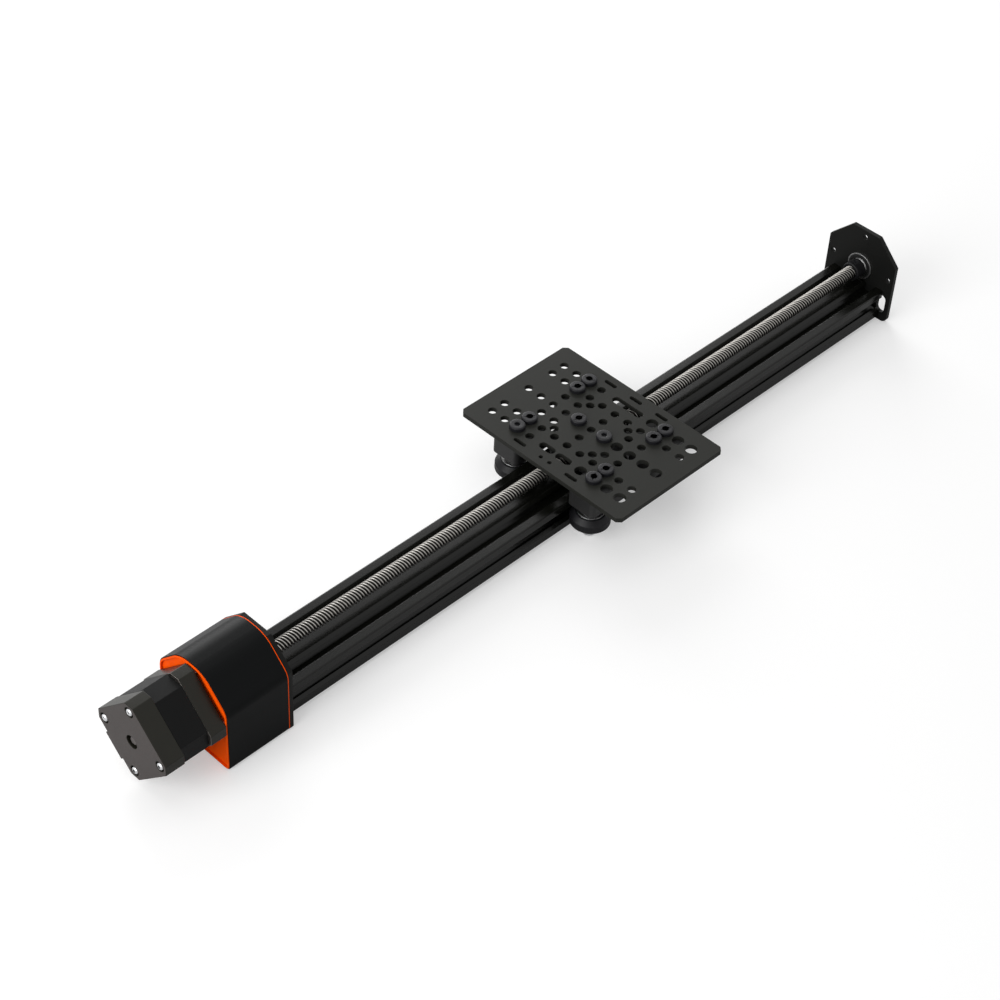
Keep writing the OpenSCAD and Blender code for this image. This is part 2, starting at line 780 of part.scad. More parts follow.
module gantry_plate_outline() {
    hole_d = m5_d + 2 * bolt_gap;
    edge_x = deck_len / 2 - edge_slot_inset;
    short_slot = grid + 1;
    long_slot = 2.25 * grid;
    pin_hole_y = grid / 3;
    c = deck_chamfer;
    x = deck_len / 2;
    y = deck_w / 2;
    difference() {
        polygon([
            [x, c - y], [x, y - c], [x - c, y], [c - x, y],
            [-x, y - c], [-x, c - y], [c - x, -y], [x - c, -y]
        ]);
        hole_rows(SMALL_ROWS, hole_d);
        hole_rows(BIG_ROWS, big_hole_d);
        // Adjustment slots between the wheels
        for (y = [0.6, -0.675]) translate([-axle_x, y * grid]) obround(hole_d, short_slot);
        translate([axle_x, -grid / 12]) obround(hole_d, long_slot);
        // Narrow slots and pin holes near the two ends
        for (y = [-2, 0, 2]) translate([edge_x, y * grid]) obround(edge_slot_w, edge_slot_len);
        for (y = [-2, 2]) translate([-edge_x, y * grid]) obround(edge_slot_w, edge_slot_len);
        for (y = [-1, 1]) translate([-edge_x, y * pin_hole_y]) circle(d = edge_slot_w);
        // Screws of the nut block, the wheel blocks and the axles
        for (s = [-1, 1]) translate([0, s * grid]) circle(d = hole_d);
        for (corner = CORNERS, x = [block_screw_x, axle_x])
            translate([corner.x * x, corner.y * axle_y]) circle(d = hole_d);
    }
}

module gantry_plate() {
    color(DECK_GREY) translate([0, 0, deck_z]) linear_extrude(deck_t) gantry_plate_outline();
}

module nut_block() {
    half = nut_w / 2;
    low = axis_z - nut_drop;
    c = nut_chamfer;
    color(BLACK_PLASTIC) difference() {
        along_x(-nut_len / 2, nut_len / 2) polygon([
            [c - half, low], [half - c, low], [half, low + c],
            [half, deck_z], [-half, deck_z], [-half, low + c]
        ]);
        on_axis(-nut_len) cylinder(r = screw_r + bolt_gap, h = 2 * nut_len);
        for (s = [-1, 1]) translate([0, s * grid, deck_z + deck_t - short_screw_len])
            cylinder(r = m5_d / 2 + bolt_gap, h = short_screw_len);
    }
}

module nut_block_screws() {
    color(BLACK_STEEL) for (s = [-1, 1])
        translate([0, s * grid, deck_z + deck_t]) m5_screw(short_screw_len);
}

module wheel_block(side_x, side_y) {
    inner_x = block_screw_x - block_end;
    outer_x = axle_x + block_end;
    mid_x = (inner_x + outer_x) / 2;
    hole_r = m5_d / 2 + bolt_gap;
    radii = [for (i = [1 : 4]) block_r];
    color(BLACK_PLASTIC) translate([0, side_y * axle_y, 0]) difference() {
        union() {
            translate([side_x * mid_x, 0, deck_z - block_h]) linear_extrude(block_h)
                polygon(rounded(box_outline(outer_x - inner_x, block_w), radii));
            translate([side_x * axle_x, 0, boss_z]) cylinder(d = boss_d, h = deck_z - boss_z - over);
        }
        translate([side_x * axle_x, 0, boss_z - over]) cylinder(r = hole_r, h = deck_z);
        translate([side_x * block_screw_x, 0, deck_z + deck_t - short_screw_len - over])
            cylinder(r = hole_r, h = short_screw_len);
    }
}

module wheel_block_motor_front() wheel_block(MOTOR, FRONT);
module wheel_block_motor_back() wheel_block(MOTOR, BACK);
module wheel_block_far_front() wheel_block(FAR, FRONT);
module wheel_block_far_back() wheel_block(FAR, BACK);

module block_screws() {
    color(BLACK_STEEL) for (corner = CORNERS)
        translate([corner.x * block_screw_x, corner.y * axle_y, deck_z + deck_t])
            m5_screw(short_screw_len);
}

module axle_screws() {
    color(BLACK_STEEL) for (corner = CORNERS) at_corner(corner.x, corner.y)
        translate([0, 0, deck_z + deck_t]) m5_screw(axle_len);
}

module axle_nuts() {
    collar_h = lock_nut_h * 0.3;
    color(STEEL) for (corner = CORNERS) at_corner(corner.x, corner.y)
        translate([0, 0, nut_top_z - lock_nut_h]) difference() {
            union() {
                translate([0, 0, collar_h]) cylinder(d = lock_nut_d, h = lock_nut_h - collar_h, $fn = 6);
                cylinder(d = lock_nut_d * 0.8, h = lock_nut_h);
            }
            translate([0, 0, -over]) cylinder(r = m5_d / 2 + bolt_gap, h = lock_nut_h + 2 * over);
        }
}

module wheel_shims() {
    color(STEEL) for (corner = CORNERS, z = [nut_top_z, mid_z - shim_t / 2, boss_z - shim_t])
        at_corner(corner.x, corner.y) translate([0, 0, z])
            ring(shim_d / 2, m5_d / 2 + bolt_gap, shim_t);
}

// ---- Wheels ----

// Lower faces of a wheel's two bearings
WHEEL_BEARING_Z = [mid_z - stack_half, mid_z + shim_t / 2];

module wheel_bearings_inner() {
    color(BRIGHT_STEEL) for (corner = CORNERS, z = WHEEL_BEARING_Z)
        at_corner(corner.x, corner.y) translate([0, 0, z]) inner_ring(m5_d / 2);
}

module wheel_bearings(side_x, side_y) {
    color(STEEL) at_corner(side_x, side_y)
        for (z = WHEEL_BEARING_Z) translate([0, 0, z]) outer_ring(m5_d / 2);
}

// Tyre with two slanted flanks that run in the side slot
module wheel_tyre(side_x, side_y) {
    seat_r = bearing_r + seat_gap;
    h = wheel_w / 2;
    flat = wheel_flat / 2;
    lip = shim_t / 2;
    color(BLACK_PLASTIC) at_corner(side_x, side_y) translate([0, 0, mid_z])
        rotate_extrude() polygon([
            [seat_r, -h], [wheel_face_r, -h], [wheel_r, -flat], [wheel_r, flat],
            [wheel_face_r, h], [seat_r, h], [seat_r, lip], [wheel_lip_d / 2, lip],
            [wheel_lip_d / 2, -lip], [seat_r, -lip]
        ]);
}

module wheel_tyre_motor_front() wheel_tyre(MOTOR, FRONT);
module wheel_tyre_motor_back() wheel_tyre(MOTOR, BACK);
module wheel_tyre_far_front() wheel_tyre(FAR, FRONT);
module wheel_tyre_far_back() wheel_tyre(FAR, BACK);
module wheel_bearings_motor_front() wheel_bearings(MOTOR, FRONT);
module wheel_bearings_motor_back() wheel_bearings(MOTOR, BACK);
module wheel_bearings_far_front() wheel_bearings(FAR, FRONT);
module wheel_bearings_far_back() wheel_bearings(FAR, BACK);

rail();
end_plate_motor();
end_plate_far();
rail_screws_motor();
rail_screws_far();
bearing_outer_motor();
bearing_outer_far();
cover_skin();
cover_liner();
motor_standoffs();
motor_mount_screws();
motor_front_cap();
motor_stator();
motor_rear_cap();
motor_rear_screws();
motor_bearings_outer();
motor_connector();
connector_pins();
lead_screw();
shaft_coupling();
coupling_screws();
motor_shaft();
motor_rotor();
motor_bearings_inner();
lock_collar_motor();
lock_collar_far();
collar_screws();
thrust_shims();
bearing_inner_motor();
bearing_inner_far();
gantry_plate();
nut_block();
nut_block_screws();
wheel_block_motor_front();
wheel_block_motor_back();
wheel_block_far_front();
wheel_block_far_back();
block_screws();
axle_screws();
axle_nuts();
wheel_shims();
wheel_bearings_inner();
wheel_tyre_motor_front();
wheel_tyre_motor_back();
wheel_tyre_far_front();
wheel_tyre_far_back();
wheel_bearings_motor_front();
wheel_bearings_motor_back();
wheel_bearings_far_front();
wheel_bearings_far_back();
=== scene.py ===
"""Looks of a lead screw linear module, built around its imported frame.

Each sub-assembly is a class that keeps its sizes, shapes its meshes with bmesh
operators and gives them their finishes. Everything is in metres, in the frame's
own axes: +X along the rail away from the motor, +Y to the back and +Z up.
"""

import logging
import math
from abc import ABC, abstractmethod
from dataclasses import dataclass, replace
from enum import Enum
from typing import Callable, Iterable, Sequence

import bmesh
import bpy
from mathutils import Matrix, Vector


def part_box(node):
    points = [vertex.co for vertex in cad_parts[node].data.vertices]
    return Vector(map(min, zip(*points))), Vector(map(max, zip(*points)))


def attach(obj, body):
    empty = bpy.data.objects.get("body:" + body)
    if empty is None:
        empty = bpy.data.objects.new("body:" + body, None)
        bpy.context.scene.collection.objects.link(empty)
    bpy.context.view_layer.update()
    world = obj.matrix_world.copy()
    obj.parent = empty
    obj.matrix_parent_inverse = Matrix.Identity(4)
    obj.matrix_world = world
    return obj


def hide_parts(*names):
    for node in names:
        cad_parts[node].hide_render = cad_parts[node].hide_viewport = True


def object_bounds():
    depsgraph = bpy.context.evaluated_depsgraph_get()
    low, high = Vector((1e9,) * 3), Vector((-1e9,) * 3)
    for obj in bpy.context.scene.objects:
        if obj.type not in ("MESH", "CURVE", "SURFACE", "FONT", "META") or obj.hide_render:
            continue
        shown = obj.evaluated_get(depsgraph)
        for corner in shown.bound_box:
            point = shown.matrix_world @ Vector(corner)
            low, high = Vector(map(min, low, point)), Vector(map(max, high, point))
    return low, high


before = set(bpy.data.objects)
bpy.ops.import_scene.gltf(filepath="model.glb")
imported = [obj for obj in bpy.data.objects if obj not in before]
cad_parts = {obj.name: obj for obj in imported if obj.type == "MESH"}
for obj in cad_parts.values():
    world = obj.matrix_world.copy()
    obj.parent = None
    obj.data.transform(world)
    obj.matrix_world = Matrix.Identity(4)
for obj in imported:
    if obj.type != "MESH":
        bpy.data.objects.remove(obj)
CAD_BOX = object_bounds()

MM = 0.001
HAIR = 0.01 * MM         # two places closer than this count as one
FINE_EDGE = 0.1 * MM     # bevel of shims, rods and grub screws
RING_EDGE = 0.12 * MM    # bevel of bearing rings and of the motor's socket
WALL_EDGE = 0.15 * MM    # bevel of the cover's walls, the stator and the lock nuts
TURNED_EDGE = 0.2 * MM   # bevel of the coupling, the collars and the spacers
PLATE_EDGE = 0.22 * MM   # bevel round the plates and their holes
LOG = logging.getLogger("linear_module")
Colour = tuple[float, float, float]
EdgeTest = Callable[[bmesh.types.BMEdge], bool]


class Axis(Enum):
    """The frame's axes that parts lie or turn along, as unit vectors."""

    X = (1.0, 0.0, 0.0)
    Z = (0.0, 0.0, 1.0)

    @property
    def vector(self) -> Vector:
        """The axis as a vector."""
        return Vector(self.value)


class End(Enum):
    """The rail's two ends, as the way to them along X."""

    MOTOR = -1
    FAR = 1

    @property
    def label(self) -> str:
        """The end's word in the names of nodes and pieces."""
        return self.name.lower()

    @property
    def outward(self) -> Vector:
        """The direction that leads out at this end."""
        return Axis.X.vector * self.value

    def seat_x(self, node: str, head_h: float) -> float:
        """Place along X of the face under a node's screw heads, which point to this end."""
        low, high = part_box(node)
        return (low if self is End.MOTOR else high).x - self.value * head_h


class Side(Enum):
    """The rail's two sides."""

    FRONT = "front"
    BACK = "back"


CORNERS = [f"{end.label}_{side.value}" for end in End for side in Side]


# ---- Shader maths ----


class Wire:
    """A shader socket that adds its own Math nodes when it is used in an expression."""

    def __init__(self, sheet: "Sheet", socket: bpy.types.NodeSocket) -> None:
        """Wraps a socket.

        Args:
            sheet: The node tree that the socket belongs to.
            socket: The output socket.
        """
        self.sheet = sheet
        self.socket = socket

    def _math(self, operation: str, *operands: "Wire | float") -> "Wire":
        """Adds one Math node.

        Args:
            operation: Blender's name of the operation.
            operands: Its inputs, in order.

        Returns:
            The node's result.
        """
        inputs = dict(enumerate(operands))
        return self.sheet.add("ShaderNodeMath", inputs, operation=operation)[0]

    def __add__(self, other: "Wire | float") -> "Wire":
        """Sum."""
        return self._math("ADD", self, other)

    __radd__ = __add__

    def __sub__(self, other: "Wire | float") -> "Wire":
        """Difference."""
        return self._math("SUBTRACT", self, other)

    def __rsub__(self, other: float) -> "Wire":
        """Difference from a number."""
        return self._math("SUBTRACT", other, self)

    def __mul__(self, other: "Wire | float") -> "Wire":
        """Product."""
        return self._math("MULTIPLY", self, other)

    __rmul__ = __mul__

    def __truediv__(self, other: "Wire | float") -> "Wire":
        """Quotient."""
        return self._math("DIVIDE", self, other)

    def __pow__(self, other: float) -> "Wire":
        """Power."""
        return self._math("POWER", self, other)

    def sine(self) -> "Wire":
        """Sine of an angle in radians."""
        return self._math("SINE", self)

    def clamped(self) -> "Wire":
        """The value held between 0 and 1."""
        return self._math("MINIMUM", self._math("MAXIMUM", self, 0.0), 1.0)

    def near(self, place: float, width: float) -> "Wire":
        """1 where the value lies within a width of a place, and 0 elsewhere."""
        return self._math("COMPARE", self, place, width)

    def ridges(self, pitch: float) -> "Wire":
        """Even waves between 0 and 1, one for each pitch of the value."""
        return (self * (2 * math.pi / pitch)).sine() * 0.5 + 0.5


class Sheet:
    """A node tree and the single method that makes its nodes."""

    OBJECT = 3   # number of the Texture Coordinate node's Object output
    # Numbers of a Mix node's sockets when it mixes colours
    MIX_FACTOR, MIX_LOW, MIX_HIGH, MIX_RESULT = 0, 6, 7, 2

    def __init__(self, owner: "bpy.types.Material | bpy.types.World") -> None:
        """Starts an empty tree.

        Args:
            owner: The material or world that the tree belongs to.
        """
        owner.use_nodes = True
        self.tree = owner.node_tree
        self.tree.nodes.clear()

    def add(self, kind: str, inputs: dict | None = None, **settings: "str | bool") -> list[Wire]:
        """Makes one node.

        Args:
            kind: Blender's type name of the node.
            inputs: Values or wires, by socket name or number.
            settings: Properties of the node, which are set first.

        Returns:
            The node's outputs.
        """
        node = self.tree.nodes.new(kind)
        for name, value in settings.items():
            setattr(node, name, value)
        for name, value in (inputs or {}).items():
            if isinstance(value, Wire):
                self.tree.links.new(value.socket, node.inputs[name])
            else:
                node.inputs[name].default_value = value
        return [Wire(self, socket) for socket in node.outputs]

    def seen(self, *kinds: str) -> Wire:
        """Tells some kinds of ray from all the others.

        Args:
            kinds: Names of the kinds, as the Light Path node gives them.

        Returns:
            1 for rays of those kinds, 0 for all others.
        """
        rays = {wire.socket.name: wire for wire in self.add("ShaderNodeLightPath")}
        return sum((rays[f"Is {kind} Ray"] for kind in kinds), 0.0).clamped()

    def place(self, scale: Sequence[float] = (1, 1, 1), shift: Sequence[float] = (0, 0, 0)) -> Wire:
        """Object coordinates through a Mapping node.

        Args:
            scale: Scale along each axis.
            shift: Point that becomes the pattern's origin, in metres.

        Returns:
            The mapped vector.
        """
        coordinates = self.add("ShaderNodeTexCoord")[self.OBJECT]
        moved = [-s * k for s, k in zip(shift, scale)]
        inputs = {"Vector": coordinates, "Location": moved, "Scale": scale}
        return self.add("ShaderNodeMapping", inputs)[0]

    def split(self, vector: Wire) -> list[Wire]:
        """X, Y and Z of a vector."""
        return self.add("ShaderNodeSeparateXYZ", {"Vector": vector})

    def noise(self, density: "float | Sequence[float]", detail: float = 3.0, rough: float = 0.55) -> Wire:
        """Noise as a number between 0 and 1.

        Args:
            density: Cells per metre, along each axis or the same along all.
            detail: Number of octaves.
            rough: How strong the finer octaves are.

        Returns:
            The noise.
        """
        scale = (density,) * 3 if isinstance(density, float) else density
        inputs = {"Vector": self.place(scale), "Scale": 1.0, "Detail": detail, "Roughness": rough}
        return self.add("ShaderNodeTexNoise", inputs)[0]

    def mix(self, amount: Wire, low: "Wire | Colour", high: "Wire | Colour") -> Wire:
        """A colour between two others.

        Args:
            amount: 0 for low and 1 for high.
            low: First colour.
            high: Second colour.

        Returns:
            The mixed colour.
        """
        inputs = {self.MIX_FACTOR: amount}
        for number, colour in ((self.MIX_LOW, low), (self.MIX_HIGH, high)):
            inputs[number] = colour if isinstance(colour, Wire) else (*colour, 1.0)
        return self.add("ShaderNodeMix", inputs, data_type="RGBA", clamp_factor=True)[self.MIX_RESULT]


class Surface(Sheet):
    """A material's node tree with one Principled surface.

    Attributes:
        material: The material.
    """

    def __init__(self, name: str) -> None:
        """Starts a material.

        Args:
            name: Name of the material.
        """
        self.material = bpy.data.materials.new(name)
        super().__init__(self.material)
        shader = self.add("ShaderNodeBsdfPrincipled")[0]
        self.inputs = shader.socket.node.inputs
        self.add("ShaderNodeOutputMaterial", {"Surface": shader})

    def set(self, **values: "Wire | float") -> None:
        """Sets or links sockets of the Principled surface.

        Args:
            values: Values or wires, by socket name with underscores for spaces.
        """
        for name, value in values.items():
            socket = self.inputs[name.replace("_", " ")]
            if isinstance(value, Wire):
                self.tree.links.new(value.socket, socket)
            else:
                socket.default_value = value

    def bump(self, height: Wire, depth: float) -> None:
        """Gives the surface a relief between 0 and 1, where 1 stands for the depth in metres."""
        inputs = {"Height": height, "Distance": depth, "Strength": 1.0}
        self.set(Normal=self.add("ShaderNodeBump", inputs)[0])


# ---- Finishes ----


@dataclass(frozen=True)
class Finish(ABC):
    """A named finish that paints one material.

    Attributes:
        slot: The record's material slot that it stands for.
        colour: Main colour, linear.
        roughness: Mean roughness.
        metallic: 0 for paint and plastic, 1 for bare metal.
        sheen: Strength of the reflection when looked at square on, 0.5 for common plastic.
        variant: Name that sets it apart from the slot's main finish, if it is another.
        spread: Share that the colour varies by.
        swing: How much the roughness varies.
        relief: Depth of the relief, in metres.
    """

    slot: str
    colour: Colour
    roughness: float
    metallic: float = 0.0
    sheen: float = 0.5
    variant: str = ""
    spread: float = 0.2
    swing: float = 0.1
    relief: float = 0.01 * MM

    @abstractmethod
    def paint(self, sheet: Surface) -> None:
        """Adds the finish's nodes.

        Args:
            sheet: The material's node tree.
        """

    def material(self) -> bpy.types.Material:
        """Makes the material, once for each slot and kind of finish.

        Returns:
            The material.
        """
        name = f"{self.slot}.{self.variant or type(self).__name__}"
        known = bpy.data.materials.get(name)
        if known is not None:
            return known
        sheet = Surface(name)
        sheet.set(Specular_IOR_Level=self.sheen, Metallic=self.metallic)
        self.paint(sheet)
        return sheet.material

    def shade(self, sheet: Surface, amount: Wire) -> Wire:
        """The main colour, darker and lighter by its spread as the amount goes from 0 to 1."""
        low, high = (tuple(c * (1 + share) for c in self.colour) for share in (-self.spread, self.spread))
        return sheet.mix(amount, low, high)

    def gloss(self, amount: Wire) -> Wire:
        """The roughness, lower and higher by half its swing as the amount goes from 0 to 1."""
        return (self.roughness + (amount - 0.5) * self.swing).clamped()

    def coat(self, sheet: Surface, light: Wire, rough: Wire, height: Wire) -> None:
        """Links the colour, the roughness and the relief to their patterns, each between 0 and 1."""
        sheet.set(Base_Color=self.shade(sheet, light), Roughness=self.gloss(rough))
        sheet.bump(height, self.relief)


@dataclass(frozen=True)
class DrawnAnodise(Finish):
    """Anodised metal with fine lines drawn along one axis.

    Attributes:
        grain: Density of the lines along X, Y and Z, per metre.
        band_ratio: How many times broader the soft bands are than the lines.
        specks: Density of the specks over the lines, per metre.
    """

    spread: float = 0.25
    swing: float = 0.2
    grain: tuple[float, float, float] = (6.0, 2600.0, 2600.0)
    band_ratio: float = 14.0
    specks: float = 5200.0

    def paint(self, sheet: Surface) -> None:
        """Adds fine drawn lines, broad soft bands and specks."""
        lines = sheet.noise(self.grain, 4.0, 0.7)
        bands = sheet.noise(tuple(g / self.band_ratio for g in self.grain), 2.0)
        specks = sheet.noise(self.specks, 2.0)
        mixed = (lines * 0.55 + bands * 0.3 + specks * 0.15).clamped()
        self.coat(sheet, mixed, mixed, lines * 0.7 + specks * 0.3)


@dataclass(frozen=True)
class GroundSteel(Finish):
    """Bare metal with fine scratches in all directions.

    Attributes:
        scratches: Density of the scratches, per metre.
        clouds: Density of the soft stains, per metre.
    """

    metallic: float = 1.0
    spread: float = 0.12
    swing: float = 0.16
    relief: float = 0.004 * MM
    scratches: float = 3500.0
    clouds: float = 160.0

    def paint(self, sheet: Surface) -> None:
        """Adds scratches to the roughness and a faint relief."""
        fine = sheet.noise(self.scratches)
        broad = sheet.noise(self.clouds, 2.0)
        self.coat(sheet, broad, fine * 0.625 + broad * 0.375, fine)


@dataclass(frozen=True)
class RimmedSteel(Finish):
    """Steel dark and rougher near an axis and bright further out. On the drive screw this paints shade into
    the thread's roots and a highlight onto its crests; on a bearing's outer ring the dark part is its seal.

    Attributes:
        axis_z: Height of the screw's axis, in metres.
        root_r: Radius up to which it is dark, in metres.
        crest_r: Radius from which it is bright, in metres.
        root_share: Share of the colour that is left where it is dark.
        oil: How much rougher it is there.
        bias: Power that keeps the brightness close to the outside.
        wear: Density of the worn places along X, Y and Z, per metre.
        scratches: Density of the scratches, per metre.
    """

    metallic: float = 1.0
    spread: float = 0.15
    swing: float = 0.06
    relief: float = 0.004 * MM
    axis_z: float = 0.029
    root_r: float = 0.003
    crest_r: float = 0.004
    root_share: float = 0.08
    oil: float = 0.22
    bias: float = 2.2
    wear: tuple[float, float, float] = (90.0, 900.0, 900.0)
    scratches: float = 4000.0

    def paint(self, sheet: Surface) -> None:
        """Colours the steel by its distance from the axis."""
        _, y, z = sheet.split(sheet.place(shift=(0.0, 0.0, self.axis_z)))
        radius = (y * y + z * z) ** 0.5
        height = ((radius - self.root_r) / (self.crest_r - self.root_r)).clamped()
        wear = 1 - self.spread + sheet.noise(self.wear) * (2 * self.spread)
        fine = sheet.noise(self.scratches, 2.0)
        # On the drive screw the dark roots are painted shade and the bright crests a painted highlight; on
        # a bearing the dark part is its seal.
        bright = (height ** self.bias * wear).clamped()
        dark = tuple(c * self.root_share for c in self.colour)
        rough = self.roughness + (1 - bright) * self.oil + fine * self.swing
        sheet.set(Base_Color=sheet.mix(bright, dark, self.colour), Roughness=rough.clamped())
        sheet.bump(fine, self.relief)


@dataclass(frozen=True)
class Moulded(Finish):
    """Moulded plastic or blacked metal with a fine even grain.

    Attributes:
        grain: Density of the grain, per metre.
        clouds: Density of the soft clouds, per metre.
    """

    spread: float = 0.16
    swing: float = 0.13
    grain: float = 2600.0
    clouds: float = 70.0

    def paint(self, sheet: Surface) -> None:
        """Adds grain, faint clouds in the colour and a varied gloss."""
        fine = sheet.noise(self.grain)
        clouds = sheet.noise(self.clouds)
        self.coat(sheet, clouds * 0.7 + fine * 0.3, clouds * 0.615 + fine * 0.385, fine)


@dataclass(frozen=True)
class TurnedPlastic(Finish):
    """Turned plastic with fine rings around an upright axis.

    Attributes:
        ring_pitch: Distance between tool marks, in metres.
        clouds: Density of the soft clouds, per metre.
    """

    relief: float = 0.012 * MM
    ring_pitch: float = 0.28 * MM
    clouds: float = 220.0

    def paint(self, sheet: Surface) -> None:
        """Adds rings at even heights, as a lathe leaves them."""
        _, _, z = sheet.split(sheet.place())
        clouds = sheet.noise(self.clouds)
        self.coat(sheet, clouds, clouds, z.ridges(self.ring_pitch) * 0.7 + clouds * 0.3)


@dataclass(frozen=True)
class CastCoat(Finish):
    """Dark coat on a casting, with a lighter end face and a bare edge.

    Attributes:
        face_x: Place of the lighter end face along X, in metres.
        face: Colour of that face.
        face_w: How far its colour reaches, in metres.
        bare_x: Place of the edge that is turned to bare metal along X, in metres.
        bare: Colour of the bare metal.
        bare_w: How far the bare metal reaches, in metres.
        peel: Density of the coat's orange peel, per metre.
        clouds: Density of the soft clouds, per metre.
    """

    spread: float = 0.18
    swing: float = 0.16
    relief: float = 0.025 * MM
    face_x: float = 0.0
    face: Colour = (0.034, 0.027, 0.025)
    face_w: float = 0.05 * MM
    bare_x: float = 0.0
    bare: Colour = (0.30, 0.28, 0.26)
    bare_w: float = 0.1 * MM
    peel: float = 1500.0
    clouds: float = 120.0

    def paint(self, sheet: Surface) -> None:
        """Adds the coat's peel and clouds, the lighter end face and the bare edge."""
        peel = sheet.noise(self.peel, 2.0)
        clouds = sheet.noise(self.clouds, 4.0)
        x, _, _ = sheet.split(sheet.place())
        edge = x.near(self.bare_x, self.bare_w)
        coat = sheet.mix(x.near(self.face_x, self.face_w), self.shade(sheet, clouds), self.face)
        sheet.set(
            Base_Color=sheet.mix(edge, coat, self.bare), Metallic=edge,
            Roughness=self.gloss(peel * 0.625 + clouds * 0.375),
        )
        sheet.bump(peel, self.relief)


@dataclass(frozen=True)
class StackedSheets(Finish):
    """Coated stack of thin steel sheets, seen from the side.

    Attributes:
        sheet_pitch: Thickness of one sheet, in metres.
        clouds: Density of the soft clouds along X, Y and Z, per metre.
    """

    spread: float = 0.25
    swing: float = 0.14
    relief: float = 0.03 * MM
    sheet_pitch: float = 0.5 * MM
    clouds: tuple[float, float, float] = (400.0, 90.0, 90.0)

    def paint(self, sheet: Surface) -> None:
        """Adds the joints between the sheets and an uneven coat."""
        x, _, _ = sheet.split(sheet.place())
        joints = x.ridges(self.sheet_pitch)
        clouds = sheet.noise(self.clouds, 4.0)
        self.coat(sheet, clouds * 0.6 + joints * 0.4, clouds, joints * 0.6 + clouds * 0.4)


class Finishes:
    """All the finishes of the module, one or more for each slot of the record."""

    RAIL = DrawnAnodise("black_anodised", (0.004, 0.0042, 0.0032), 0.20, sheen=0.24)
    PLATE = DrawnAnodise("black_anodised", (0.008, 0.0082, 0.0076), 0.42, sheen=0.09, variant="plate")
    DECK = DrawnAnodise(
        "grey_anodised", (0.018, 0.0184, 0.0160), 0.50, sheen=0.10, spread=0.3, relief=0.012 * MM,
        grain=(70.0, 2600.0, 900.0),
    )
    SKIN = DrawnAnodise(
        "skin_black", (0.003, 0.0034, 0.0036), 0.36, sheen=0.07, spread=0.3, relief=0.03 * MM,
        grain=(5.0, 700.0, 700.0),
    )
    # Thread with painted shade in its roots and a painted highlight on its crests.
    THREAD = RimmedSteel("screw_steel", (0.40, 0.385, 0.36), 0.30)
    SEAL = RimmedSteel("bright_steel", (0.50, 0.50, 0.50), 0.28, variant="seal")
    RING = GroundSteel("bright_steel", (0.55, 0.55, 0.55), 0.30)
    SHAFT = GroundSteel("bright_steel", (0.16, 0.145, 0.14), 0.42, variant="dull")
    ZINC = GroundSteel("zinc_steel", (0.80, 0.81, 0.82), 0.34)
    COUPLING = GroundSteel("coupling_aluminium", (0.74, 0.75, 0.77), 0.32)
    SPACER = GroundSteel("spacer_aluminium", (0.70, 0.71, 0.73), 0.34)
    ROTOR = GroundSteel("rotor_steel", (0.36, 0.36, 0.37), 0.40)
    PIN = GroundSteel("pin_brass", (0.75, 0.58, 0.27), 0.28)
    BLACK_STEEL = Moulded(
        "black_steel", (0.010, 0.010, 0.012), 0.425, sheen=0.2, grain=3200.0, relief=0.008 * MM
    )
    COLLAR = Moulded(
        "collar_black", (0.005, 0.005, 0.006), 0.425, sheen=0.2, grain=3200.0, relief=0.008 * MM
    )
    ACETAL = Moulded(
        "black_acetal", (0.016, 0.016, 0.016), 0.465, sheen=0.32, grain=1800.0, relief=0.012 * MM
    )
    LINER = Moulded("liner_orange", (1.0, 0.095, 0.001), 0.505, sheen=0.05, grain=1500.0, relief=0.008 * MM)
    SOCKET = Moulded("socket_plastic", (0.72, 0.70, 0.62), 0.405, grain=2200.0, relief=0.006 * MM)
    TYRE = TurnedPlastic("tyre_black", (0.007, 0.007, 0.008), 0.40, sheen=0.2)
    CASTING = CastCoat("motor_cast", (0.012, 0.0115, 0.008), 0.32, sheen=0.2)
    STATOR = StackedSheets("stator_black", (0.004, 0.0042, 0.0042), 0.43, sheen=0.1)


# ---- Shaping ----


def any_edge(edge: bmesh.types.BMEdge) -> bool:
    """Counts every edge in."""
    return True


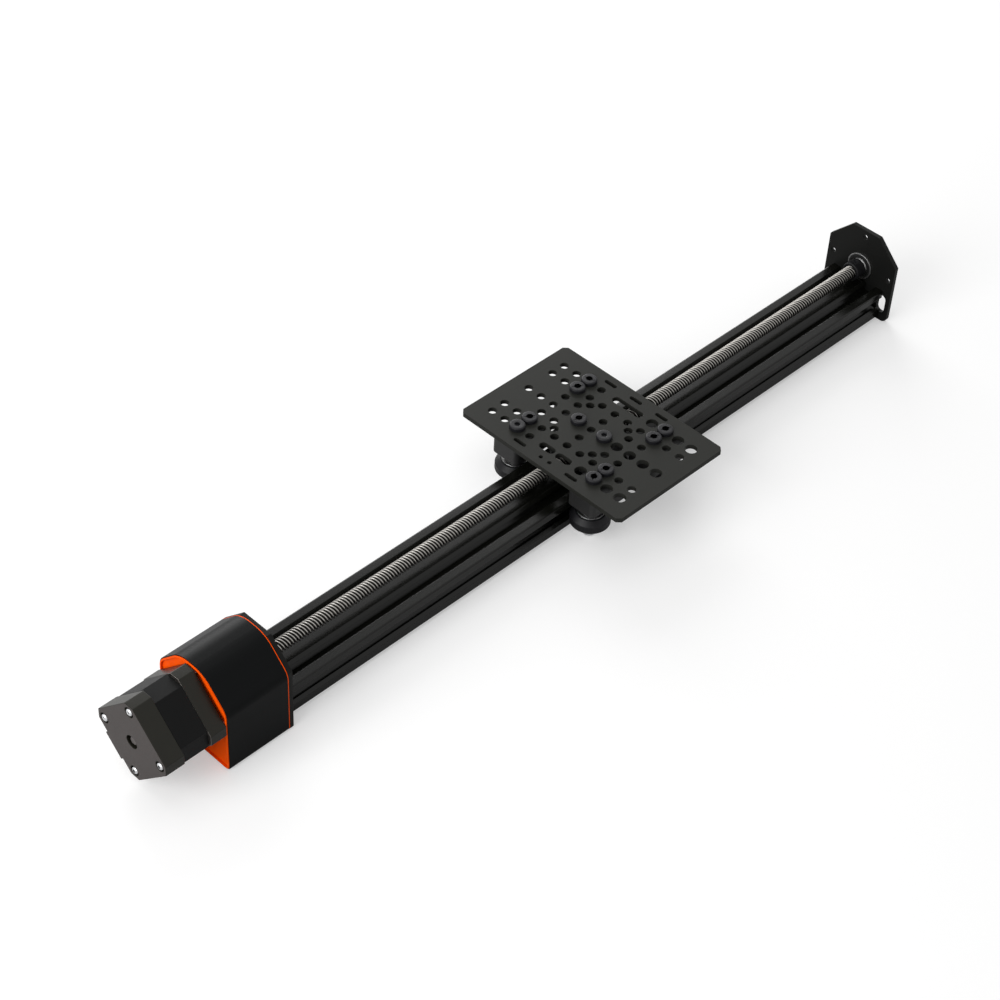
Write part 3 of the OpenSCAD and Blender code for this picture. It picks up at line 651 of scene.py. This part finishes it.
class Blank:
    """A mesh in the making, with the bmesh operators that the pieces share."""

    WELD = 0.002 * MM        # vertices closer than this become one
    FLAT_ANGLE = 0.4         # faces that turn by less than this are one face, in degrees
    BEVEL_STEPS = 2          # steps of a bevel, if nothing else is said
    TURN_STEPS = 96          # steps of a turned body
    RING_STEPS = 48          # vertices in a ring of a screw
    HEX_SIDE = math.pi / 3   # angle that one side of a hexagon takes

    def __init__(self) -> None:
        """Starts empty."""
        self.bm = bmesh.new()

    @classmethod
    def from_node(cls, node: str) -> "Blank":
        """A merged copy of a CAD node's mesh, with flat faces in one piece.

        Args:
            node: Name of the node.

        Returns:
            The blank.
        """
        blank = cls()
        blank.bm.from_mesh(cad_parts[node].data)
        blank.merge()
        bmesh.ops.dissolve_limit(
            blank.bm, angle_limit=math.radians(cls.FLAT_ANGLE), use_dissolve_boundaries=False,
            verts=blank.bm.verts, edges=blank.bm.edges, delimit=set(),
        )
        return blank

    def merge(self, distance: float = WELD) -> "Blank":
        """Merges the vertices that lie closer than a distance in metres."""
        bmesh.ops.remove_doubles(self.bm, verts=self.bm.verts, dist=distance)
        return self

    def soften(
        self, width: float, segments: int = BEVEL_STEPS, angle: float = 30.0, where: EdgeTest = any_edge,
    ) -> "Blank":
        """Breaks the sharp edges.

        Args:
            width: Width of the bevel, in metres.
            segments: Its steps.
            angle: Least angle between an edge's faces, in degrees.
            where: Tells which edges count.

        Returns:
            The blank itself.
        """
        least = math.radians(angle)
        edges = [
            edge for edge in self.bm.edges
            if len(edge.link_faces) == 2 and edge.calc_face_angle(0.0) > least and where(edge)
        ]
        bmesh.ops.bevel(
            self.bm, geom=edges, offset=width, offset_type="OFFSET", affect="EDGES",
            segments=segments, profile=0.5, clamp_overlap=False, material=-1,
        )
        return self

    def turned(self, profile: Sequence[tuple[float, float]], centre: Vector) -> "Blank":
        """Adds a closed profile turned fully about an upright axis.

        Args:
            profile: Radius and height of each corner, in metres.
            centre: Point on the axis where heights are counted from.

        Returns:
            The blank itself.
        """
        verts = [self.bm.verts.new(centre + Vector((radius, 0.0, height))) for radius, height in profile]
        edges = [self.bm.edges.new((verts[i - 1], verts[i])) for i in range(len(verts))]
        bmesh.ops.spin(
            self.bm, geom=verts + edges, cent=centre, axis=Axis.Z.vector, dvec=(0, 0, 0),
            angle=2 * math.pi, steps=self.TURN_STEPS, use_merge=True, use_duplicate=False,
        )
        return self.merge().outwards()

    def outwards(self) -> "Blank":
        """Points all faces outwards."""
        bmesh.ops.recalc_face_normals(self.bm, faces=self.bm.faces)
        return self

    def loops(self, rings: Sequence[tuple[float, float, bool]], matrix: Matrix) -> "Blank":
        """Adds a closed body through round and six-sided rings.

        Args:
            rings: Radius, height and whether it is six-sided, from end to end.
            matrix: Where the body goes, its axis along the matrix's +Z.

        Returns:
            The blank itself.
        """
        made = []
        for number, (radius, height, six_sided) in enumerate(rings):
            place = matrix @ Matrix.Translation((0, 0, height))
            capped = number in (0, len(rings) - 1)
            ring = bmesh.ops.create_circle(
                self.bm, cap_ends=capped, radius=radius, segments=self.RING_STEPS, matrix=Matrix.Identity(4)
            )["verts"]
            for vert in ring:
                if six_sided:
                    turn = math.atan2(vert.co.y, vert.co.x) % self.HEX_SIDE - self.HEX_SIDE / 2
                    vert.co *= math.cos(self.HEX_SIDE / 2) / math.cos(turn)
                vert.co = place @ vert.co
            members = set(ring)
            made.append([e for e in self.bm.edges if members.issuperset(e.verts)])
        for low, high in zip(made, made[1:]):
            bmesh.ops.bridge_loops(self.bm, edges=low + high)
        return self.outwards()

    def piece(
        self, name: str, body: str, finish: Finish, replaces: Sequence[str] = (), sharp: float = 38.0,
    ) -> None:
        """Turns the blank into a finished piece of the module.

        Args:
            name: The piece's name.
            body: The CAD body that it rides on.
            finish: Its finish.
            replaces: CAD nodes that it stands for.
            sharp: Angle above which an edge stays sharp, in degrees.
        """
        mesh = bpy.data.meshes.new(name)
        self.bm.to_mesh(mesh)
        self.bm.free()
        for polygon in mesh.polygons:
            polygon.use_smooth = True
        mesh.set_sharp_from_angle(angle=math.radians(sharp))
        mesh.materials.append(finish.material())
        piece = bpy.data.objects.new(name, mesh)
        bpy.context.scene.collection.objects.link(piece)
        weighted = piece.modifiers.new("even_shading", "WEIGHTED_NORMAL")
        weighted.keep_sharp = True
        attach(piece, body)
        if replaces:
            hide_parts(*replaces)
        LOG.info("%s: %d faces, %s", name, len(mesh.polygons), finish.slot)


def softened(
    node: str, name: str, body: str, finish: Finish, width: float, angle: float = 30.0,
    where: EdgeTest = any_edge,
) -> None:
    """Makes a piece from a CAD node's shape, with its edges broken.

    Args:
        node: The CAD node.
        name: The piece's name.
        body: The CAD body that it rides on.
        finish: Its finish.
        width: Width of the broken edges, in metres.
        angle: Least angle between an edge's faces, in degrees.
        where: Tells which edges count.
    """
    Blank.from_node(node).soften(width, angle=angle, where=where).piece(name, body, finish, [node])


def dressed(node: str, finish: Finish) -> None:
    """Gives a CAD node that stays its finish.

    Args:
        node: The CAD node.
        finish: Its finish.
    """
    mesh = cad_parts[node].data
    mesh.materials.clear()
    mesh.materials.append(finish.material())
    LOG.info("%s stays, %s", node, finish.slot)


@dataclass(frozen=True)
class ScrewKind:
    """Sizes of one kind of socket screw, in metres.

    Attributes:
        head_r: Radius of the head.
        head_h: Height of the head.
        hex_r: Radius of the socket's hexagon, over its corners.
        shank_r: Radius of the shank.
        round_r: Rounding of the head's upper edge.
        rim: Bevel at the socket's mouth.
        under: Bevel of the head's lower edge.
        tip: Bevel of the shank's tip.
        floor_share: Height of the socket's floor, as a share of the head's height.
        drill_share: Radius of the hollow in that floor, as a share of the hexagon's.
        drill_h: Depth of that hollow.
    """

    ARC = (0, 22.5, 45, 67.5, 90)   # angles of the rings in the head's rounding, in degrees

    head_r: float
    head_h: float
    hex_r: float
    shank_r: float
    round_r: float
    rim: float = 0.15 * MM
    under: float = 0.15 * MM
    tip: float = 0.3 * MM
    floor_share: float = 0.42
    drill_share: float = 0.3
    drill_h: float = 0.3 * MM

    def rings(self, length: float) -> list[tuple[float, float, bool]]:
        """Rings of the screw from the shank's tip to the socket's floor.

        Args:
            length: Length of the shank.

        Returns:
            Radius, height and whether six-sided, for each ring.
        """
        top = self.head_h
        floor = top * self.floor_share
        turns = [math.radians(angle) for angle in self.ARC]
        arc = [
            (self.head_r - self.round_r * (1 - math.cos(a)), top - self.round_r * (1 - math.sin(a)), False)
            for a in turns
        ]
        return [
            (self.shank_r - self.tip, -length, False), (self.shank_r, self.tip - length, False),
            (self.shank_r, 0.0, False), (self.head_r - self.under, 0.0, False),
            (self.head_r, self.under, False), *arc,
            (self.hex_r + self.rim, top, False), (self.hex_r, top - self.rim, True),
            (self.hex_r, floor, True), (self.hex_r * self.drill_share, floor - self.drill_h, False),
        ]

    def group(
        self, node: str, body: str, finish: Finish, places: Iterable[Matrix], length: float,
    ) -> None:
        """Makes one piece of a group of equal screws.

        Args:
            node: The CAD node that it stands for.
            body: The CAD body that it rides on.
            finish: Its finish.
            places: Where each screw's head sits, its outside along +Z.
            length: Length of the shanks.
        """
        blank = Blank()
        for place in places:
            blank.loops(self.rings(length), place)
        blank.piece(f"{node}_set", body, finish, [node])


M5_LOW = ScrewKind(
    head_r=4.75 * MM, head_h=2.7 * MM, hex_r=1.75 * MM, shank_r=2.5 * MM, round_r=0.9 * MM, rim=0.25 * MM
)
M3_ROUND = ScrewKind(head_r=2.2 * MM, head_h=3.0 * MM, hex_r=0.8 * MM, shank_r=1.5 * MM, round_r=1.1 * MM)
M3_LOW = ScrewKind(head_r=2.75 * MM, head_h=1.65 * MM, hex_r=1.0 * MM, shank_r=1.5 * MM, round_r=1.1 * MM)


def facing(point: Sequence[float], direction: Vector) -> Matrix:
    """A place with its +Z along a direction."""
    return Matrix.Translation(point) @ direction.to_track_quat("Z", "Y").to_matrix().to_4x4()


def corners(node: str, inset: float) -> list[tuple[float, float]]:
    """Axes of four equal parts at the corners of a node's box, in X and Y.

    Args:
        node: The CAD node.
        inset: Radius of one part.

    Returns:
        The four places.
    """
    low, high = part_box(node)
    xs = (low.x + inset, high.x - inset)
    ys = (low.y + inset, high.y - inset)
    return [(x, y) for x in xs for y in ys]


# ---- Sub-assemblies ----


@dataclass
class RailFrame:
    """The extrusion, its end plates, their screws and the bearings' outer rings.

    Attributes:
        body: CAD body that all of it rides on.
        edge: Bevel along the extrusion's outer edges.
        screw_len: Length of the rail screws.
        ring_rim: Width of the bearings' rim outside their seals.
    """

    body: str = "frame"
    edge: float = 0.18 * MM
    screw_len: float = 15 * MM
    ring_rim: float = 1.0 * MM

    def build(self) -> None:
        """Builds every piece."""
        self.rail()
        for end in End:
            plate = f"end_plate_{end.label}"
            softened(plate, f"{plate}_sheet", self.body, Finishes.PLATE, PLATE_EDGE)
            self.bearing(end)
            self.screws(end)

    def rail(self) -> None:
        """Breaks only the long edges on the extrusion's outside."""
        low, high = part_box("rail")
        half_length = (high.x - low.x) / 2

        def outside(edge: bmesh.types.BMEdge) -> bool:
            """Tells whether an edge runs along the rail on its outer surface."""
            a, b = (v.co for v in edge.verts)
            lengthways = abs(a.x - b.x) > half_length
            on_side = min(abs(a.y - low.y), abs(a.y - high.y)) < HAIR
            on_top = min(abs(a.z - low.z), abs(a.z - high.z)) < HAIR
            return lengthways and (on_side or on_top)

        softened("rail", "rail_extrusion", self.body, Finishes.RAIL, self.edge, where=outside)

    def bearing(self, end: End) -> None:
        """The outer ring of an end plate's bearing, bright at its rim.

        Args:
            end: Which end plate.
        """
        ring = f"bearing_outer_{end.label}"
        low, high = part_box(ring)
        rim_r = (high.y - low.y) / 2
        finish = replace(
            Finishes.SEAL, axis_z=(low.z + high.z) / 2,
            root_r=rim_r - self.ring_rim, crest_r=rim_r - self.ring_rim / 2,
        )
        softened(ring, f"{ring}_ring", self.body, finish, RING_EDGE)

    def screws(self, end: End) -> None:
        """The two screws that hold an end plate to the rail.

        Args:
            end: Which end plate.
        """
        node = f"rail_screws_{end.label}"
        low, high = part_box(node)
        face_x = end.seat_x(node, M5_LOW.head_h)
        mid_z = (low.z + high.z) / 2
        ys = (low.y + M5_LOW.head_r, high.y - M5_LOW.head_r)
        places = [facing((face_x, y, mid_z), end.outward) for y in ys]
        M5_LOW.group(node, self.body, Finishes.BLACK_STEEL, places, self.screw_len)


@dataclass
class DriveScrew:
    """The lead screw and all that turns with it.

    Attributes:
        body: CAD body that all of it rides on.
        pitch: Distance between neighbouring crests.
        starts: Number of separate threads.
        depth: Depth of the thread.
        steps: Steps of one turn.
        cut: How close to a cut a vertex counts as on it.
        sharp: Angle above which an edge of the thread stays sharp, in degrees.
    """

    # One pitch of the trapezoidal thread: share of the pitch and share of the depth
    CRESTS = ((0.02, 0.0), (0.38, 0.0), (0.53, 0.88), (0.57, 1.0), (0.81, 1.0), (0.85, 0.88))

    body: str = "drive_screw"
    pitch: float = 2 * MM
    starts: int = 4
    depth: float = 1.05 * MM
    steps: int = 32
    cut: float = 0.0005 * MM
    sharp: float = 60.0

    def build(self) -> None:
        """Builds every piece."""
        self.thread()
        softened("shaft_coupling", "coupling_sleeve", self.body, Finishes.COUPLING, TURNED_EDGE)
        for end in End:
            collar, ring = f"lock_collar_{end.label}", f"bearing_inner_{end.label}"
            softened(collar, f"{collar}_ring", self.body, Finishes.COLLAR, TURNED_EDGE)
            softened(ring, f"{ring}_ring", self.body, Finishes.RING, RING_EDGE)
        softened("thrust_shims", "thrust_shim_pair", self.body, Finishes.RING, FINE_EDGE)
        softened("motor_shaft", "motor_shaft_rod", self.body, Finishes.SHAFT, FINE_EDGE)
        for owner in ("coupling", "collar"):
            softened(f"{owner}_screws", f"{owner}_grubs", self.body, Finishes.BLACK_STEEL, FINE_EDGE)
        dressed("motor_rotor", Finishes.ROTOR)
        dressed("motor_bearings_inner", Finishes.RING)

    def thread(self) -> None:
        """Sweeps one line of crests round the screw, which closes on the next start."""
        low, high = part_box("lead_screw")
        crest_r = (high.y - low.y) / 2
        centre = Vector((low.x, 0.0, (low.z + high.z) / 2))
        lead = self.pitch * self.starts
        turns = math.ceil((high.x - low.x + lead) / self.pitch) + 1
        blank = Blank()
        verts = [
            blank.bm.verts.new(centre + Vector((
                (number + place) * self.pitch - lead, 0.0, crest_r - self.depth * (1 - height)
            )))
            for number in range(turns) for place, height in self.CRESTS
        ]
        edges = [blank.bm.edges.new(pair) for pair in zip(verts, verts[1:])]
        bmesh.ops.spin(
            blank.bm, geom=verts + edges, cent=centre, axis=Axis.X.value,
            dvec=(lead / self.steps, 0, 0), angle=2 * math.pi, steps=self.steps,
            use_merge=False, use_duplicate=False,
        )
        blank.merge(HAIR)
        for x, outer in ((low.x, False), (high.x, True)):
            self.trim(blank, Vector((x, 0, centre.z)), outer)
        # The thread's finish paints shade into the roots and a highlight onto the crests.
        finish = replace(
            Finishes.THREAD, axis_z=centre.z, root_r=crest_r - self.depth, crest_r=crest_r
        )
        blank.outwards().piece("lead_screw_thread", self.body, finish, ["lead_screw"], self.sharp)

    def trim(self, blank: Blank, point: Vector, outer: bool) -> None:
        """Cuts the thread square at one end and closes it.

        Args:
            blank: The thread.
            point: A point on the cut.
            outer: Whether what lies beyond the point goes, and not what lies before it.
        """
        bm = blank.bm
        bmesh.ops.bisect_plane(
            bm, geom=bm.verts[:] + bm.edges[:] + bm.faces[:], dist=self.cut, plane_co=point,
            plane_no=Axis.X.value, clear_outer=outer, clear_inner=not outer,
        )
        rim = [e for e in bm.edges if e.is_boundary and all(abs(v.co.x - point.x) < HAIR for v in e.verts)]
        bmesh.ops.holes_fill(bm, edges=rim, sides=0)


@dataclass
class Motor:
    """The stepper motor, its socket, screws and the spacers that carry it.

    Attributes:
        body: CAD body that all of it rides on.
        cap_edge: Bevel round the two caps.
        head_r: Radius of the CAD's screw heads.
        head_h: Height of the CAD's screw heads.
    """

    body: str = "frame"
    cap_edge: float = 0.35 * MM
    head_r: float = 2.75 * MM
    head_h: float = 3 * MM

    def build(self) -> None:
        """Builds every piece."""
        rear_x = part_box("motor_rear_cap")[0].x
        joint_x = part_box("motor_stator")[1].x
        casting = replace(Finishes.CASTING, face_x=rear_x, bare_x=joint_x)
        for cap in ("front", "rear"):
            softened(f"motor_{cap}_cap", f"motor_{cap}_casting", self.body, casting, self.cap_edge)
        softened("motor_stator", "motor_stator_stack", self.body, Finishes.STATOR, WALL_EDGE)
        softened("motor_connector", "motor_socket_shell", self.body, Finishes.SOCKET, RING_EDGE)
        softened("motor_standoffs", "motor_spacers", self.body, Finishes.SPACER, TURNED_EDGE)
        dressed("connector_pins", Finishes.PIN)
        dressed("motor_bearings_outer", Finishes.RING)
        self.screws("motor_rear_screws", End.MOTOR, M3_ROUND, Finishes.ZINC)
        self.screws("motor_mount_screws", End.FAR, M3_LOW, Finishes.BLACK_STEEL)

    def screws(self, node: str, end: End, kind: ScrewKind, finish: Finish) -> None:
        """The four small screws above, below and beside the motor's axis.

        Args:
            node: The CAD node that they stand for.
            end: Where their heads point.
            kind: Their sizes.
            finish: Their finish.
        """
        low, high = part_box(node)
        axis_z = (low.z + high.z) / 2
        reach = high.y - self.head_r
        face_x = end.seat_x(node, self.head_h)
        places = [
            facing((face_x, reach * math.cos(a), axis_z + reach * math.sin(a)), end.outward)
            for a in (quarter * math.pi / 2 for quarter in range(4))
        ]
        kind.group(node, self.body, finish, places, high.x - low.x - self.head_h)


@dataclass
class Cover:
    """The sleeve over the coupling: a black skin on a coloured liner.

    Attributes:
        body: CAD body that it rides on.
        fold: Least angle between an edge's faces for a bevel, in degrees.
        seam_w: Width of the liner's line that shows at the end plate.
    """

    body: str = "frame"
    fold: float = 50.0
    seam_w: float = 0.4 * MM

    def build(self) -> None:
        """Builds both shells and the line of liner that shows at the end plate."""
        for node, finish in (("cover_skin", Finishes.SKIN), ("cover_liner", Finishes.LINER)):
            softened(node, f"{node}_shell", self.body, finish, WALL_EDGE, self.fold)
        self.seam()

    def seam(self) -> None:
        """Carries the skin's end on by a little, as a lip of the liner."""
        skin_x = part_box("cover_skin")[1].x
        blank = Blank.from_node("cover_skin")
        rest = [f for f in blank.bm.faces if any(abs(v.co.x - skin_x) > HAIR for v in f.verts)]
        bmesh.ops.delete(blank.bm, geom=rest, context="FACES")
        rim = bmesh.ops.extrude_face_region(blank.bm, geom=blank.bm.faces[:], use_keep_orig=True)
        moved = [item for item in rim["geom"] if isinstance(item, bmesh.types.BMVert)]
        bmesh.ops.translate(blank.bm, verts=moved, vec=Axis.X.vector * self.seam_w)
        blank.outwards().piece("cover_liner_seam", self.body, Finishes.LINER)


@dataclass
class Carriage:
    """The plate on four wheels, its nut block, wheel blocks and screws.

    Attributes:
        body: CAD body that all of it rides on.
        block_edge: Bevel of the plastic blocks.
        short_len: Length of the short screws.
    """

    body: str = "carriage"
    block_edge: float = 0.5 * MM
    short_len: float = 16 * MM

    def build(self) -> None:
        """Builds every piece."""
        softened("gantry_plate", "carriage_plate", self.body, Finishes.DECK, PLATE_EDGE)
        for block in ("nut_block", *(f"wheel_block_{corner}" for corner in CORNERS)):
            softened(block, f"{block}_body", self.body, Finishes.ACETAL, self.block_edge)
        softened("axle_nuts", "axle_lock_nuts", self.body, Finishes.ZINC, WALL_EDGE)
        softened("wheel_shims", "wheel_shim_set", self.body, Finishes.RING, FINE_EDGE)
        softened("wheel_bearings_inner", "wheel_inner_rings", self.body, Finishes.RING, RING_EDGE)
        low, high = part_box("axle_screws")
        self.screws("block_screws", self.short_len)
        self.screws("axle_screws", high.z - low.z - M5_LOW.head_h)
        self.nut_screws()

    def screws(self, node: str, length: float) -> None:
        """Four upright screws at the corners of a node's box.

        Args:
            node: The CAD node that they stand for.
            length: Length of their shanks.
        """
        face_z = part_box(node)[1].z - M5_LOW.head_h
        places = [facing((x, y, face_z), Axis.Z.vector) for x, y in corners(node, M5_LOW.head_r)]
        M5_LOW.group(node, self.body, Finishes.BLACK_STEEL, places, length)

    def nut_screws(self) -> None:
        """The two screws that hold the nut block."""
        node = "nut_block_screws"
        low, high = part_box(node)
        face_z = high.z - M5_LOW.head_h
        ys = (low.y + M5_LOW.head_r, high.y - M5_LOW.head_r)
        places = [facing((0.0, y, face_z), Axis.Z.vector) for y in ys]
        M5_LOW.group(node, self.body, Finishes.BLACK_STEEL, places, self.short_len)


@dataclass
class Wheel:
    """One V wheel with its two bearings.

    Attributes:
        corner: Which corner of the carriage it stands at.
        bearing_r: Radius of the bearings.
        lip_r: Radius of the lip between them.
        lip_half: Half of that lip's height.
        flat: Width of the tread.
        edge: Bevel of the tyre's edges.
        edge_steps: Steps of that bevel.
    """

    corner: str
    bearing_r: float = 8.02 * MM
    lip_r: float = 7 * MM
    lip_half: float = 0.5 * MM
    flat: float = 4.45 * MM
    edge: float = 0.3 * MM
    edge_steps: int = 3

    def build(self) -> None:
        """Builds the tyre and its bearings' rings."""
        body = f"wheel_{self.corner}"
        node = f"wheel_tyre_{self.corner}"
        low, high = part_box(node)
        radius = (high.x - low.x) / 2
        half = (high.z - low.z) / 2
        face_r = radius - (half - self.flat / 2)
        profile = [
            (self.bearing_r, -half), (face_r, -half), (radius, -self.flat / 2), (radius, self.flat / 2),
            (face_r, half), (self.bearing_r, half), (self.bearing_r, self.lip_half),
            (self.lip_r, self.lip_half), (self.lip_r, -self.lip_half), (self.bearing_r, -self.lip_half),
        ]
        tyre = Blank().turned(profile, (low + high) / 2).soften(self.edge, self.edge_steps)
        tyre.piece(f"{node}_ring", body, Finishes.TYRE, [node])
        rings = f"wheel_bearings_{self.corner}"
        softened(rings, f"{rings}_rings", body, Finishes.RING, RING_EDGE)


# ---- Studio ----


@dataclass(frozen=True)
class Lamp:
    """A soft square lamp.

    Attributes:
        name: Its name.
        place: Where it hangs, in metres.
        target: What it points at, in metres.
        size: Its side, in metres.
        power: Its power, in watts.
    """

    name: str
    place: tuple[float, float, float]
    target: tuple[float, float, float]
    size: float
    power: float

    def hang(self) -> None:
        """Adds the lamp to the scene."""
        data = bpy.data.lights.new(self.name, "AREA")
        data.shape = "SQUARE"
        data.size = self.size
        data.energy = self.power
        lamp = bpy.data.objects.new(self.name, data)
        lamp.matrix_world = facing(self.place, Vector(self.place) - Vector(self.target))
        bpy.context.scene.collection.objects.link(lamp)


@dataclass
class Studio:
    """The floor, the lamps and the camera.

    Attributes:
        position: The camera's place, in metres.
        azimuth: Its direction round the module, in degrees.
        elevation: Its height above the horizon, in degrees.
        roll: Its turn about the line of sight, in degrees.
        lens: Its focal length, in millimetres.
        sensor: Width of its sensor, in millimetres.
        white: Colour of the floor and the surroundings.
        ambient: How strongly the surroundings light the module.
        paper: Share of the light that the floor throws back.
        fibre: Share of that which its darkest fibres keep.
        fibres: Density of the fibres, per metre.
        matt: Roughness of the floor.
        glow: What the floor adds to its own light where it is looked at.
        reach: How far the floor goes from the origin, in metres.
        gap: Gap between the module's feet and the floor, in metres.
        lamps: The lamps.
    """

    position: tuple[float, float, float] = (-0.76646, -0.63918, 0.90823)
    azimuth: float = -47.308
    elevation: float = 42.979
    roll: float = 3.268
    lens: float = 83.095
    sensor: float = 36.0
    white: Colour = (1.0, 1.0, 1.0)
    ambient: float = 0.4
    paper: float = 0.66
    fibre: float = 0.015
    fibres: float = 300.0
    matt: float = 0.9
    glow: float = 0.39
    reach: float = 6.0
    gap: float = 0.1 * MM
    lamps: tuple[Lamp, ...] = (
        Lamp("rear", place=(0.9, 1.6, 0.75), target=(-0.1, 0.0, 0.0), size=1.4, power=24.0),
        Lamp("top", place=(-0.2, 0.3, 2.0), target=(0.0, 0.0, 0.0), size=1.6, power=7.0),
        Lamp("side", place=(-1.65, 0.1, 0.85), target=(-0.2, 0.0, 0.0), size=1.3, power=22.0),
    )

    def build(self) -> None:
        """Sets up the camera first, then the floor and the light."""
        self.camera()
        self.floor()
        self.surroundings()
        for lamp in self.lamps:
            lamp.hang()
        bpy.context.scene.view_settings.view_transform = "Standard"

    def camera(self) -> None:
        """Places the camera."""
        a, e, r = (math.radians(v) for v in (self.azimuth, self.elevation, self.roll))
        back = Vector((math.sin(a) * math.cos(e), -math.cos(a) * math.cos(e), math.sin(e)))
        level = Vector((math.cos(a), math.sin(a), 0.0))
        right = level * math.cos(r) + back.cross(level) * math.sin(r)
        data = bpy.data.cameras.new("camera")
        data.lens = self.lens
        data.sensor_width = self.sensor
        camera = bpy.data.objects.new("camera", data)
        turn = Matrix((right, back.cross(right), back)).transposed().to_4x4()
        camera.matrix_world = Matrix.Translation(self.position) @ turn
        bpy.context.scene.collection.objects.link(camera)
        bpy.context.scene.camera = camera

    def floor(self) -> None:
        """Lays the floor under the feet of the end plates."""
        level = Matrix.Translation((0, 0, CAD_BOX[0][2] - self.gap))
        bm = bmesh.new()
        bmesh.ops.create_grid(bm, x_segments=2, y_segments=2, size=self.reach, matrix=level)
        mesh = bpy.data.meshes.new("floor")
        bm.to_mesh(mesh)
        bm.free()
        sheet = Surface("floor_paper")
        dark, light = (tuple(c * self.paper * k for c in self.white) for k in (1 - self.fibre, 1.0))
        sheet.set(
            Base_Color=sheet.mix(sheet.noise(self.fibres, 2.0), dark, light),
            Roughness=self.matt, Specular_IOR_Level=0.0,
            Emission_Color=sheet.seen("Camera") * self.glow, Emission_Strength=1.0,
        )
        mesh.materials.append(sheet.material)
        floor = bpy.data.objects.new("floor", mesh)
        bpy.context.scene.collection.objects.link(floor)

    def surroundings(self) -> None:
        """A white world that the camera and shiny surfaces see at full strength."""
        world = bpy.data.worlds.new("surroundings")
        bpy.context.scene.world = world
        sheet = Sheet(world)
        strength = self.ambient + sheet.seen("Camera", "Glossy", "Transmission") * (1.0 - self.ambient)
        inputs = {"Color": (*self.white, 1.0), "Strength": strength}
        background = sheet.add("ShaderNodeBackground", inputs)[0]
        sheet.add("ShaderNodeOutputWorld", {"Surface": background})


def main() -> None:
    """Builds the studio and every sub-assembly, in order."""
    logging.basicConfig(level=logging.INFO, format="%(message)s")
    Studio().build()
    wheels = [Wheel(corner) for corner in CORNERS]
    for part in (RailFrame(), DriveScrew(), Motor(), Cover(), Carriage(), *wheels):
        LOG.info("building %s", type(part).__name__)
        part.build()


if __name__ == "__main__":
    main()
